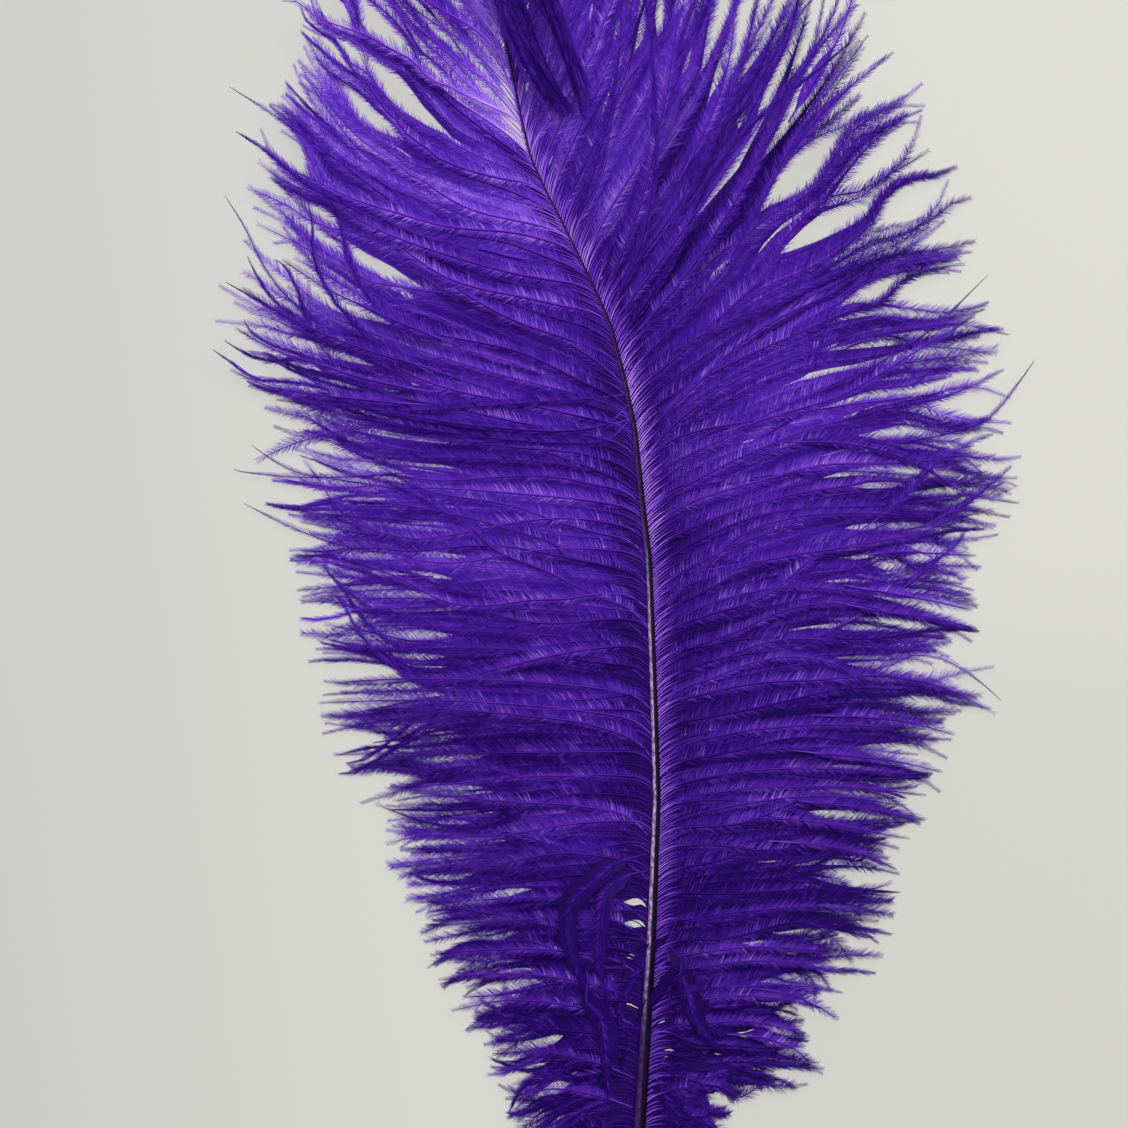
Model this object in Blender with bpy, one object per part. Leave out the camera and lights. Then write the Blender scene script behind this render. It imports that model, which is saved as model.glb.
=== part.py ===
"""A dyed ostrich plume, lying with the flat underside of its shaft on a table.

The plume is one grown piece: a bare quill that runs on as the shaft, and two broad loose vanes whose
barbs hang together in pointed locks. Each lock is a flattened, tapering blade that leaves the shaft
steeply, turns outwards, arches over the table and comes down to it at its point. The shaft's thin end
lifts and curls to one side, and two locks of the tip fall back over it.

+Y runs from the quill's cut end to the plume's tip, +X to the right seen from above, and +Z is up from
the table. The dimensions are written in millimetres and degrees, and MM turns them into metres.
"""

import math
import random

import bpy
import bmesh
from mathutils import Vector

MM = 0.001
PART_NAME = "ostrich_feather"

# The shaft's course: x, y, height of its flat underside over the table, half width.
SHAFT_COURSE = (
    (0.2, -188.0, 0.0, 1.8),
    (1.9, -160.0, 0.0, 2.0),
    (3.4, -135.4, 0.0, 1.9),
    (6.2, -90.2, 0.0, 1.5),
    (7.5, -56.6, 0.0, 1.25),
    (6.7, -30.0, 0.0, 1.15),
    (5.6, 1.0, 0.0, 1.05),
    (3.9, 15.4, 0.2, 0.95),
    (2.2, 32.2, 0.9, 0.8),
    (-0.5, 45.1, 2.0, 0.7),
    (-3.8, 57.4, 3.4, 0.6),
    (-7.6, 66.0, 4.6, 0.55),
    (-14.9, 80.6, 7.0, 0.5),
    (-19.2, 88.6, 8.6, 0.5),
    (-22.8, 96.2, 10.4, 0.5),
    (-25.2, 106.1, 13.0, 0.45),
    (-26.7, 113.3, 15.2, 0.45),
    (-28.6, 122.2, 18.2, 0.4),
    (-31.4, 134.2, 22.4, 0.4),
    (-35.2, 147.4, 26.4, 0.35),
    (-40.2, 158.6, 28.6, 0.3),
)
SHAFT_HEIGHT_TO_HALF_WIDTH = 1.6

# The barbs' courses on each side of the shaft, by the place of their root: root y, length, and the
# heading in degrees, from square to the shaft (0) towards the tip (90), at the root, LEAVE_LENGTH out
# from it, at MID_SHARE of the length and at the point.
LEAVE_LENGTH = 7.5
MID_SHARE = 0.55
LEFT_COURSES = (
    (-150.0, 18.0, 40.0, -10.0, -45.0, -50.0),
    (-140.0, 34.0, 45.0, -5.0, -38.0, -42.0),
    (-123.8, 42.0, 58.0, 0.0, -22.0, -28.0),
    (-104.6, 51.0, 60.0, 4.0, -14.0, -14.0),
    (-85.4, 60.0, 60.0, 5.0, -9.0, -10.0),
    (-66.2, 68.0, 60.0, 6.0, -8.0, -1.0),
    (-47.0, 79.0, 60.0, 6.0, -7.0, 2.0),
    (-27.8, 87.0, 60.0, 6.0, -4.0, 4.0),
    (-8.6, 92.0, 58.0, 6.0, 2.0, 8.0),
    (10.6, 99.0, 56.0, 10.0, 0.0, 10.0),
    (22.6, 106.0, 55.0, 14.0, 3.0, 30.0),
    (35.8, 104.0, 52.0, 17.0, 14.0, 38.0),
    (45.1, 98.0, 50.0, 20.0, 26.0, 48.0),
    (53.8, 96.0, 48.0, 17.0, 28.0, 46.0),
    (65.0, 93.0, 46.0, 6.0, 27.0, 42.0),
    (73.0, 92.0, 45.0, 4.0, 32.0, 42.0),
    (80.6, 86.0, 45.0, 6.0, 38.0, 46.0),
    (88.6, 84.0, 46.0, 14.0, 44.0, 52.0),
    (96.2, 80.0, 50.0, 28.0, 48.0, 54.0),
    (107.0, 74.0, 65.0, 50.0, 52.0, 56.0),
    (122.0, 62.0, 68.0, 54.0, 50.0, 50.0),
    (140.0, 50.0, 68.0, 52.0, 44.0, 40.0),
    (158.0, 38.0, 66.0, 50.0, 38.0, 28.0),
)
RIGHT_COURSES = (
    (-150.0, 16.0, 40.0, -10.0, -50.0, -60.0),
    (-138.0, 26.0, 52.0, -5.0, -30.0, -40.0),
    (-119.0, 36.0, 58.0, 0.0, -12.0, -28.0),
    (-104.6, 45.0, 60.0, 6.0, -8.0, -16.0),
    (-90.0, 57.0, 60.0, 10.0, -4.0, -14.0),
    (-71.0, 64.0, 60.0, 12.0, -4.0, -12.0),
    (-51.8, 71.0, 60.0, 15.0, 0.0, -6.0),
    (-37.4, 76.0, 60.0, 19.0, 1.0, -12.0),
    (-23.0, 83.0, 60.0, 22.0, 3.0, -16.0),
    (-8.6, 91.0, 60.0, 25.0, 6.0, -14.0),
    (3.4, 94.0, 58.0, 28.0, 9.0, -12.0),
    (13.0, 98.0, 58.0, 31.0, 12.0, -8.0),
    (22.6, 102.0, 58.0, 35.0, 17.0, -2.0),
    (32.2, 103.0, 56.0, 38.0, 26.0, 10.0),
    (42.7, 101.0, 55.0, 42.0, 34.0, 34.0),
    (53.8, 96.0, 55.0, 42.0, 50.0, 58.0),
    (65.0, 92.0, 56.0, 50.0, 65.0, 74.0),
    (80.6, 87.0, 58.0, 58.0, 76.0, 86.0),
    (96.2, 82.0, 66.0, 70.0, 84.0, 87.0),
    (111.0, 72.0, 78.0, 80.0, 84.0, 84.0),
    (128.0, 60.0, 86.0, 82.0, 80.0, 76.0),
    (145.0, 46.0, 88.0, 80.0, 72.0, 62.0),
    (158.0, 36.0, 90.0, 80.0, 66.0, 50.0),
)

# The locks: where their roots lie on the shaft, and how each blade is formed.
LOCKS_PER_SIDE = 31
FIRST_ROOT_Y = -146.0
LAST_ROOT_Y = 157.0
LOCK_STATIONS = 9
LOCK_FILL = 0.485               # half width as a share of the distance between neighbouring locks
LOCK_WIDEST = 7.2               # largest half width
LOCK_THICKNESS_TO_WIDTH = 0.115
LOCK_LENGTH_SPREAD = 0.045
ARCH_HEIGHT = 6.0
ARCH_SPREAD = 1.8
POINT_HEIGHT = 0.9              # height of a lock's point over the table
LIFT_STARTS_Y = 40.0            # from here towards the tip the points lift clear of the table
POINT_LIFT_PER_MM = 0.11

# Locks that don't follow the vanes, as x, y, z of each point of their course: one ends the shaft, and
# two fall back from the tip over the right vane.
LOOSE_LOCKS = (
    ((-39.0, 156.0, 28.4), (-43.0, 165.0, 30.0), (-47.0, 174.0, 28.5), (-50.5, 182.0, 24.5), (-53.0, 188.0, 19.5)),
    ((-33.7, 142.0, 25.2), (-28.0, 135.0, 28.0), (-23.5, 124.0, 25.5), (-18.5, 114.0, 21.0), (-12.5, 105.0, 16.5)),
    ((-36.2, 150.0, 27.2), (-27.0, 146.0, 31.0), (-18.5, 133.0, 29.0), (-12.0, 119.0, 24.5), (-8.5, 104.0, 18.0)),
)
LOOSE_LOCK_HALF_WIDTH = 4.0
LOOSE_LOCK_SHARES = (0.3, 0.8, 1.0, 0.8, 0.15)

SEED = 11
BARB_VIOLET = (0.075, 0.019, 0.305, 1.0)


def clear_scene():
    """Remove every object of the scene that the file opened with."""
    for existing in list(bpy.data.objects):
        bpy.data.objects.remove(existing, do_unlink=True)


def make_collection(name):
    """Add a collection to the scene."""
    collection = bpy.data.collections.new(name)
    bpy.context.scene.collection.children.link(collection)
    return collection


def between(low, high, share):
    """The value a share of the way from low to high."""
    return low + (high - low) * share


def look_up(rows, key, key_column):
    """The row of a table at a key between two of its rows, each column in proportion."""
    clamped = min(max(key, rows[0][key_column]), rows[-1][key_column])
    for lower, upper in zip(rows, rows[1:]):
        if clamped <= upper[key_column]:
            share = (clamped - lower[key_column]) / (upper[key_column] - lower[key_column])
            return [between(a, b, share) for a, b in zip(lower, upper)]
    return list(rows[-1])


def shaft_centre(y):
    """The middle of the shaft at a place along it, with its half width there."""
    x, y, underside, half_width = look_up(SHAFT_COURSE, y, 1)
    height = half_width * SHAFT_HEIGHT_TO_HALF_WIDTH
    return Vector((x, y, underside + height / 2)), half_width


def heading_at(course, length, distance):
    """The heading in degrees of a barb's course at a distance from its root."""
    leave, out, middle, point = course
    stations = ((0.0, leave), (LEAVE_LENGTH, out), (length * MID_SHARE, middle), (length, point))
    if LEAVE_LENGTH >= length * MID_SHARE:
        stations = (stations[0], stations[2], stations[3])
    return look_up(stations, distance, 0)[1]


def barb_course(side, root_y, steps, length_share=1.0, arch=ARCH_HEIGHT):
    """The points of a barb's course from the shaft to its point; side is -1 on the left, 1 on the right."""
    table = LEFT_COURSES if side < 0 else RIGHT_COURSES
    _, length, *course = look_up(table, root_y, 0)
    length *= length_share
    root, _ = shaft_centre(root_y)
    point_height = POINT_HEIGHT + max(0.0, root_y - LIFT_STARTS_Y) * POINT_LIFT_PER_MM
    place = root.copy()
    step = length / steps
    points = []
    for index in range(steps + 1):
        share = index / steps
        level = between(root.z, point_height, share ** 1.5)
        points.append(Vector((place.x, place.y, level + arch * math.sin(math.pi * share))))
        heading = math.radians(heading_at(course, length, (index + 0.5) * step))
        place += Vector((side * math.cos(heading), math.sin(heading), 0.0)) * step
    return points


def lock_half_widths(course, lower, upper):
    """Half widths of a lock along its course, from the room between the courses beside it."""
    widths = []
    for index, place in enumerate(course):
        share = index / (len(course) - 1)
        ahead = course[min(index + 1, len(course) - 1)] - course[max(index - 1, 0)]
        across = Vector((-ahead.y, ahead.x)).normalized()
        room = abs((upper[index] - lower[index]).to_2d().dot(across))
        widening = min(1.0, 0.45 + share * 5.0)
        tapering = min(1.0, (1.0 - share) * 3.6) ** 0.8
        half_width = min(room * LOCK_FILL, LOCK_WIDEST) * widening * tapering
        widths.append(max(half_width, 0.35))
    return widths


def make_profile(name, outline, collection):
    """A closed flat outline that a course is swept with; it is a guide and is left out of the model."""
    data = bpy.data.curves.new(name, "CURVE")
    data.dimensions = "2D"
    spline = data.splines.new("POLY")
    spline.points.add(len(outline) - 1)
    for point, (across, up) in zip(spline.points, outline):
        point.co = (across, up, 0.0, 1.0)
    spline.use_cyclic_u = True
    profile = bpy.data.objects.new(name, data)
    profile.hide_render = True
    collection.objects.link(profile)
    return profile


def sweep(name, points, half_widths, profile, collection):
    """Sweep a profile along a course given in millimetres, and return it as a closed mesh object."""
    data = bpy.data.curves.new(name + "_course", "CURVE")
    data.dimensions = "3D"
    data.twist_mode = "Z_UP"
    data.bevel_mode = "OBJECT"
    data.bevel_object = profile
    data.use_fill_caps = True
    spline = data.splines.new("POLY")
    spline.points.add(len(points) - 1)
    for knot, place, half_width in zip(spline.points, points, half_widths):
        knot.co = (*(place * MM), 1.0)
        knot.radius = half_width
    swept = bpy.data.objects.new(name + "_course", data)
    collection.objects.link(swept)

    graph = bpy.context.evaluated_depsgraph_get()
    mesh = bpy.data.meshes.new_from_object(swept.evaluated_get(graph))
    cleaned = bmesh.new()
    cleaned.from_mesh(mesh)
    bmesh.ops.remove_doubles(cleaned, verts=cleaned.verts, dist=0.01 * MM)
    bmesh.ops.recalc_face_normals(cleaned, faces=cleaned.faces)
    cleaned.to_mesh(mesh)
    cleaned.free()
    solid = bpy.data.objects.new(name, mesh)
    solid.matrix_world = swept.matrix_world.copy()
    collection.objects.link(solid)
    bpy.data.objects.remove(swept, do_unlink=True)
    return solid


def shaft_profile(collection):
    """The shaft's section: flat below and round above, one unit in half width."""
    sides = 6
    arc = [math.pi * step / sides for step in range(sides + 1)]
    outline = [(math.cos(angle), math.sin(angle) * SHAFT_HEIGHT_TO_HALF_WIDTH) for angle in arc]
    return make_profile("shaft_section", [(x * MM, y * MM) for x, y in outline], collection)


def lock_profile(collection):
    """A lock's section: a flat lens, one unit in half width."""
    thick = LOCK_THICKNESS_TO_WIDTH
    outline = ((1.0, 0.0), (0.5, thick), (-0.5, thick), (-1.0, 0.0), (-0.5, -thick), (0.5, -thick))
    return make_profile("lock_section", [(x * MM, y * MM) for x, y in outline], collection)


def make_shaft(collection, guides):
    """The quill and shaft in one, flat side down."""
    points = [Vector(row[:3]) for row in SHAFT_COURSE]
    half_widths = [row[3] for row in SHAFT_COURSE]
    return sweep(PART_NAME, points, half_widths, shaft_profile(guides), collection)


def make_locks(cutters, guides):
    """The locks of both vanes, and the loose ones at the tip."""
    profile = lock_profile(guides)
    dice = random.Random(SEED)
    gap = (LAST_ROOT_Y - FIRST_ROOT_Y) / (LOCKS_PER_SIDE - 1)
    for side, side_name in ((-1, "left"), (1, "right")):
        for number in range(LOCKS_PER_SIDE):
            root_y = FIRST_ROOT_Y + number * gap
            length_share = 1.0 + dice.uniform(-LOCK_LENGTH_SPREAD, LOCK_LENGTH_SPREAD)
            arch = ARCH_HEIGHT + dice.uniform(-ARCH_SPREAD, ARCH_SPREAD)
            course, lower, upper = (
                barb_course(side, root_y + shift, LOCK_STATIONS - 1, length_share, arch)
                for shift in (0.0, -gap / 2, gap / 2))
            widths = lock_half_widths(course, lower, upper)
            sweep(f"lock_{side_name}_{number + 1}", course, widths, profile, cutters)
    for number, places in enumerate(LOOSE_LOCKS):
        widths = [LOOSE_LOCK_HALF_WIDTH * share for share in LOOSE_LOCK_SHARES]
        points = [Vector(place) for place in places]
        sweep(f"lock_loose_{number + 1}", points, widths, profile, cutters)


def join_locks(shaft, cutters):
    """Grow the locks and the shaft together into one solid."""
    union = shaft.modifiers.new("locks", "BOOLEAN")
    union.operation = "UNION"
    union.operand_type = "COLLECTION"
    union.collection = cutters
    union.solver = "EXACT"
    union.use_self = True


def dress(feather):
    """Give the feather its dyed, soft and dull finish."""
    material = bpy.data.materials.new("dyed_barbs")
    material.use_nodes = True
    principled = material.node_tree.nodes["Principled BSDF"]
    principled.inputs["Base Color"].default_value = BARB_VIOLET
    principled.inputs["Roughness"].default_value = 0.7
    principled.inputs["Metallic"].default_value = 0.0
    feather.data.materials.clear()
    feather.data.materials.append(material)


def main():
    """Model the plume."""
    clear_scene()
    parts = make_collection(PART_NAME)
    guides = make_collection("sections")
    cutters = make_collection("locks")
    feather = make_shaft(parts, guides)
    make_locks(cutters, guides)
    for guide in list(guides.objects) + list(cutters.objects):
        guide.hide_render = True
        guide.display_type = "WIRE"
    join_locks(feather, cutters)
    dress(feather)


main()
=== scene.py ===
"""Dresses a violet-dyed ostrich plume that lies on a pale surface.

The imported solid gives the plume's place, reach and thickness. Here it is replaced by its shaft and by
the barbs of both vanes: each barb is a thin ramus with a fringe of barbules on both sides, and
neighbouring barbs hang together in pointed locks.

The sizes are written in millimetres and degrees, and MM turns them into metres. +Y runs from the
quill's cut end to the plume's tip, +X to the right seen from above, and +Z is up.
"""

import logging
import math
from collections.abc import Callable
from dataclasses import dataclass, field
from enum import Enum

import bmesh
import bpy
import numpy as np
from mathutils import Matrix, Vector


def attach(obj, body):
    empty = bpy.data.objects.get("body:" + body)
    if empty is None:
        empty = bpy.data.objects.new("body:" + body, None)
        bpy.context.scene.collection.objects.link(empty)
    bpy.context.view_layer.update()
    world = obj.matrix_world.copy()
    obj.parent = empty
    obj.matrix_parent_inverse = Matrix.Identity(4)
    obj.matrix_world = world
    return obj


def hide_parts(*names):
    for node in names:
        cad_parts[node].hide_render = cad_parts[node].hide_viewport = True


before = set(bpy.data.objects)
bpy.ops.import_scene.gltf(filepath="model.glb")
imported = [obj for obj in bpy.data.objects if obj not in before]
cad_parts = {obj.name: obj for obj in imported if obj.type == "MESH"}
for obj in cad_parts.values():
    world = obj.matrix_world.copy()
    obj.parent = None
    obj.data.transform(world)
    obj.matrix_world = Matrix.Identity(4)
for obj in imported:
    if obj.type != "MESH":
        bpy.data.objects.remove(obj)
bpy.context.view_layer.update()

MM = 0.001
BODY = "root"
NODE = "ostrich_feather"
FRINGE_SLOT = "dyed_barbs"
SHAFT_SLOT = "shaft"
DYE_MAP = "Dye"
EXPORT_MAP = "OFBake"
Array = np.ndarray
UP = np.array([0.0, 0.0, 1.0])
LOWEST = 0.05
LOG = logging.getLogger("plume")

# Stretches of Y, in millimetres, over which the barbs change; the first runs down from the middle.
DOWNY = (70.0, 115.0)
UPPER = (60.0, 105.0)
WIDE_ROOTS = (60.0, 110.0)
UPPER_TONES = (25.0, 80.0)
UPPER_FRINGE = (35.0, 80.0)
UPPER_STALKS = (30.0, 80.0)


class Side(Enum):
    """The two vanes of the plume, by the sign of their X direction."""

    LEFT = -1
    RIGHT = 1


# ---- shader expressions


class Expression:
    """A shader socket that Python's operators work on; each operator adds a Math node."""

    def __init__(self, bench: "Bench", socket: bpy.types.NodeSocket) -> None:
        """Wrap an output socket.

        Args:
            bench: The material's node bench.
            socket: The output socket that holds the value.
        """
        self.bench = bench
        self.socket = socket

    def _math(self, operation: str, first: "Operand", second: "Operand") -> "Expression":
        """Add a Math node on two operands and return its result."""
        return self.bench.node(
            "ShaderNodeMath", {"operation": operation}, {0: first, 1: second}).out("Value")

    def __add__(self, other: "Operand") -> "Expression":
        """Sum."""
        return self._math("ADD", self, other)

    def __radd__(self, other: "Operand") -> "Expression":
        """Sum with a number in front."""
        return self._math("ADD", other, self)

    def __sub__(self, other: "Operand") -> "Expression":
        """Difference."""
        return self._math("SUBTRACT", self, other)

    def __rsub__(self, other: "Operand") -> "Expression":
        """Difference from a number in front."""
        return self._math("SUBTRACT", other, self)

    def __mul__(self, other: "Operand") -> "Expression":
        """Product."""
        return self._math("MULTIPLY", self, other)

    def __rmul__(self, other: "Operand") -> "Expression":
        """Product with a number in front."""
        return self._math("MULTIPLY", other, self)

    def between(self, low: float, high: float) -> "Expression":
        """A smooth step from 0 at low to 1 at high.

        Args:
            low: Where the step starts.
            high: Where the step ends.

        Returns:
            The stepped value.
        """
        settings = {"interpolation_type": "SMOOTHSTEP"}
        values = {"Value": self, "From Min": low, "From Max": high}
        return self.bench.node("ShaderNodeMapRange", settings, values).out("Result")


Operand = Expression | float


class Made:
    """A node that a bench has made, with its outputs as expressions."""

    def __init__(self, bench: "Bench", node: bpy.types.Node) -> None:
        """Wrap a node of a bench."""
        self.bench = bench
        self.node = node

    def out(self, name: str) -> Expression:
        """The node's output of that name, as an expression."""
        return Expression(self.bench, self.node.outputs[name])


class Bench:
    """Builds one material's node tree."""

    def __init__(self, name: str) -> None:
        """Start a material with a bare Principled shader.

        Args:
            name: The material's name.
        """
        self.material = bpy.data.materials.new(name)
        self.material.use_nodes = True
        self.tree = self.material.node_tree
        self.shader = self.tree.nodes["Principled BSDF"]
        self.output = self.tree.nodes["Material Output"]

    def plug(self, socket: bpy.types.NodeSocket, value: object) -> None:
        """Link an expression to a socket, or set the socket to a plain value.

        Args:
            socket: The input socket.
            value: The expression or the value.
        """
        if isinstance(value, Expression):
            self.tree.links.new(value.socket, socket)
        else:
            socket.default_value = value

    def node(self, kind: str, settings: dict[str, object], values: dict[int | str, object]) -> Made:
        """Make a node.

        Args:
            kind: The node's type.
            settings: Its properties, set first; "stops" holds a ramp's places and colours.
            values: Numbers, colours or expressions for its inputs, by name or number.

        Returns:
            The node, ready to read its outputs.
        """
        node = self.tree.nodes.new(kind)
        for key, value in settings.items():
            if key == "stops":
                self._set_stops(node.color_ramp, value)
            else:
                setattr(node, key, value)
        for key, value in values.items():
            self.plug(node.inputs[key], value)
        return Made(self, node)

    @staticmethod
    def _set_stops(ramp: bpy.types.ColorRamp, stops: tuple) -> None:
        """Give a colour ramp its stops.

        Args:
            ramp: The ramp.
            stops: Its stops, each a place and a colour.
        """
        while len(ramp.elements) < len(stops):
            ramp.elements.new(1.0)
        for element, (place, colour) in zip(ramp.elements, stops):
            element.position = place
            element.color = (*colour, 1.0)

    def ramp(self, factor: Expression, stops: tuple) -> Expression:
        """A colour from a ramp along a factor."""
        return self.node("ShaderNodeValToRGB", {"stops": stops}, {"Fac": factor}).out("Color")

    def shade(self, colour: Expression, strength: Operand) -> Expression:
        """A colour times a strength, the same in all its channels."""
        grey = self.node("ShaderNodeCombineXYZ", {}, {axis: strength for axis in range(3)})
        return self.product(colour, grey.out("Vector"))

    def product(self, first: Expression, second: object) -> Expression:
        """Two colours or vectors multiplied channel by channel."""
        return self.node(
            "ShaderNodeVectorMath", {"operation": "MULTIPLY"}, {0: first, 1: second}).out("Vector")

    def noise(self, place: Expression, scale: float, detail: float, flat: bool = False) -> Expression:
        """Add a noise.

        Args:
            place: The place that it is read at.
            scale: How fine it is.
            detail: How many finer layers it has.
            flat: Whether it has two dimensions.

        Returns:
            The noise, from 0 to 1.
        """
        settings = {"noise_dimensions": "2D"} if flat else {}
        return self.node("ShaderNodeTexNoise", settings, {
            "Vector": place, "Scale": scale, "Detail": detail}).out("Fac")

    def split(self, vector: Expression) -> tuple[Expression, Expression]:
        """The X and the Y of a vector."""
        parts = self.node("ShaderNodeSeparateXYZ", {}, {0: vector})
        return parts.out("X"), parts.out("Y")

    def dye_place(self) -> Expression:
        """The place on the Dye map."""
        return self.node("ShaderNodeUVMap", {"uv_map": DYE_MAP}, {}).out("UV")

    def mix(self, factor: Operand, first: object, second: object) -> Expression:
        """A colour between two others, by a factor from 0 to 1."""
        node = self.node("ShaderNodeMix", {"data_type": "RGBA"}, {0: factor, 6: first, 7: second}).node
        return Expression(self, node.outputs[2])

    def finish(self, values: dict[str, object]) -> bpy.types.Material:
        """Set the Principled shader's inputs.

        Args:
            values: Values or expressions, by the inputs' names.

        Returns:
            The material.
        """
        for name, value in values.items():
            self.plug(self.shader.inputs[name], value)
        return self.material


# ---- finishes


@dataclass(frozen=True)
class BarbDye:
    """Dyed keratin of the barbs and barbules: violet, matt, and lit through where it is thin.

    The Dye map's U runs from the ramus (below RAMUS_END) along each barbule from base to point, and its
    V is the tone: the depth of the dye, with the painted glints and painted shade that the barbs add to it.
    0 is the charred grey of the stray ends, and 1 the palest violet. Light comes through where a barbule
    is thin (U in thin) and pale (V in thin_tones), and through the points (U in points) of all but the
    charred ones (V in point_tones).
    """

    name: str = "dyed_barbs"
    tones: tuple = (
        (0.00, (0.030, 0.026, 0.040)),
        (0.10, (0.013, 0.002, 0.070)),
        (0.30, (0.038, 0.005, 0.240)),
        (0.60, (0.150, 0.034, 0.580)),
        (0.85, (0.300, 0.105, 0.820)),
        (1.00, (0.480, 0.240, 0.950)),
    )
    # The along ramp darkens the ramus and the points, and its bright stop near U 0.17 paints a sheen on the
    # barbules' bases and the rami's lit edges.
    along: tuple = (
        (0.00, (0.28, 0.20, 0.38)),
        (0.08, (0.32, 0.24, 0.42)),
        (0.17, (1.55, 1.60, 1.35)),
        (0.25, (1.40, 1.40, 1.25)),
        (0.42, (1.05, 1.05, 1.03)),
        (1.00, (0.68, 0.68, 0.76)),
    )
    through_colour: tuple = (0.40, 0.07, 1.0, 1.0)
    through_share: float = 0.38
    through_point: float = 0.32
    thin: tuple = (0.1, 0.3)
    thin_tones: tuple = (0.0, 0.7)
    points: tuple = (0.45, 1.0)
    point_tones: tuple = (0.10, 0.25)
    roughness: float = 0.35
    streak_roughness: float = 0.2
    specular: float = 0.04
    streak_scale: float = 60.0
    streak_detail: float = 2.0
    streak_depth: float = 0.25

    def material(self) -> bpy.types.Material:
        """Build the material.

        Returns:
            The barbs' material.
        """
        bench = Bench(self.name)
        place = bench.dye_place()
        along, tone = bench.split(place)
        streaks = bench.noise(place, self.streak_scale, self.streak_detail, flat=True)
        # Base colour: the tone's colour times the along ramp, whose bright stop is a painted sheen.
        dyed = bench.product(bench.ramp(tone, self.tones), bench.ramp(along, self.along))
        dyed = bench.shade(dyed, 1.0 - self.streak_depth / 2 + streaks * self.streak_depth)
        material = bench.finish({
            "Base Color": dyed,
            "Roughness": self.roughness + streaks * self.streak_roughness,
            "Specular IOR Level": self.specular,
        })
        thin = self.through_share * along.between(*self.thin) * tone.between(*self.thin_tones)
        points = self.through_point * along.between(*self.points) * tone.between(*self.point_tones)
        through = bench.node("ShaderNodeBsdfTranslucent", {}, {"Color": self.through_colour})
        mixed = bench.node("ShaderNodeMixShader", {}, {
            0: thin + points,
            1: Expression(bench, bench.shader.outputs["BSDF"]),
            2: through.out("BSDF"),
        })
        bench.plug(bench.output.inputs["Surface"], mixed.out("Shader"))
        return material


@dataclass(frozen=True)
class ShaftHorn:
    """Dyed horn of the shaft: dark violet, glossy, with a pale ridge that is partly worn and partly a
    painted highlight.

    The Dye map's U runs round the shaft from its right edge over the top, and V from quill to tip. The
    right side is painted dark as shade. The pale ridge is broken up by wear, and fades to faint_ridge
    outside the stretch that is worn and painted with the highlight.
    """

    name: str = "shaft_horn"
    # dark is the colour of the shaded right side: painted shade.
    dark: tuple = (0.006, 0.002, 0.014)
    flank: tuple = (0.050, 0.010, 0.135)
    # The ridge's pale colour: worn keratin and a painted highlight.
    wear_and_highlight: tuple = (0.74, 0.50, 0.76)
    ridge_place: float = 0.320
    ridge_half_width: float = 0.046
    ridge_edges: tuple = (0.020, 0.015)
    faint_ridge: float = 0.07
    wear_and_highlight_from: float = 0.20
    wear_and_highlight_to: float = 0.58
    ease: float = 0.10
    flank_span: tuple = (0.20, 0.34)
    breaks: tuple = (10.0, 230.0, 1.0)
    break_detail: float = 3.0
    break_span: tuple = (0.38, 0.62)
    worn_through: float = 0.30
    roughness: float = 0.36
    worn_roughness: float = 0.18
    specular: float = 0.07

    def material(self) -> bpy.types.Material:
        """Build the material.

        Returns:
            The shaft's material.
        """
        bench = Bench(self.name)
        place = bench.dye_place()
        across, along = bench.split(place)
        wear = bench.noise(bench.product(place, self.breaks), 1.0, self.break_detail, flat=True)
        inner, outer = (self.ridge_place + sign * self.ridge_half_width for sign in (-1.0, 1.0))
        wide, narrow = self.ridge_edges
        left = across.between(inner - wide, inner + narrow)
        right = 1.0 - across.between(outer - narrow, outer + narrow)
        stretch = along.between(self.wear_and_highlight_from, self.wear_and_highlight_from + self.ease)
        stretch = stretch * (1.0 - along.between(self.wear_and_highlight_to - self.ease, self.wear_and_highlight_to))
        stretch = self.faint_ridge + (1.0 - self.faint_ridge) * stretch
        patches = self.worn_through + (1.0 - self.worn_through) * wear.between(*self.break_span)
        # Painted shade: the right side (U below flank_span) is dark, and the left flank keeps the dye's
        # violet.
        body = bench.mix(across.between(*self.flank_span), (*self.dark, 1.0), (*self.flank, 1.0))
        return bench.finish({
            # The pale ridge, worn and painted with a highlight, broken up by wear patches.
            "Base Color": bench.mix(left * right * stretch * patches, body, (*self.wear_and_highlight, 1.0)),
            "Roughness": self.roughness + wear * self.worn_roughness,
            "Specular IOR Level": self.specular,
        })


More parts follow.
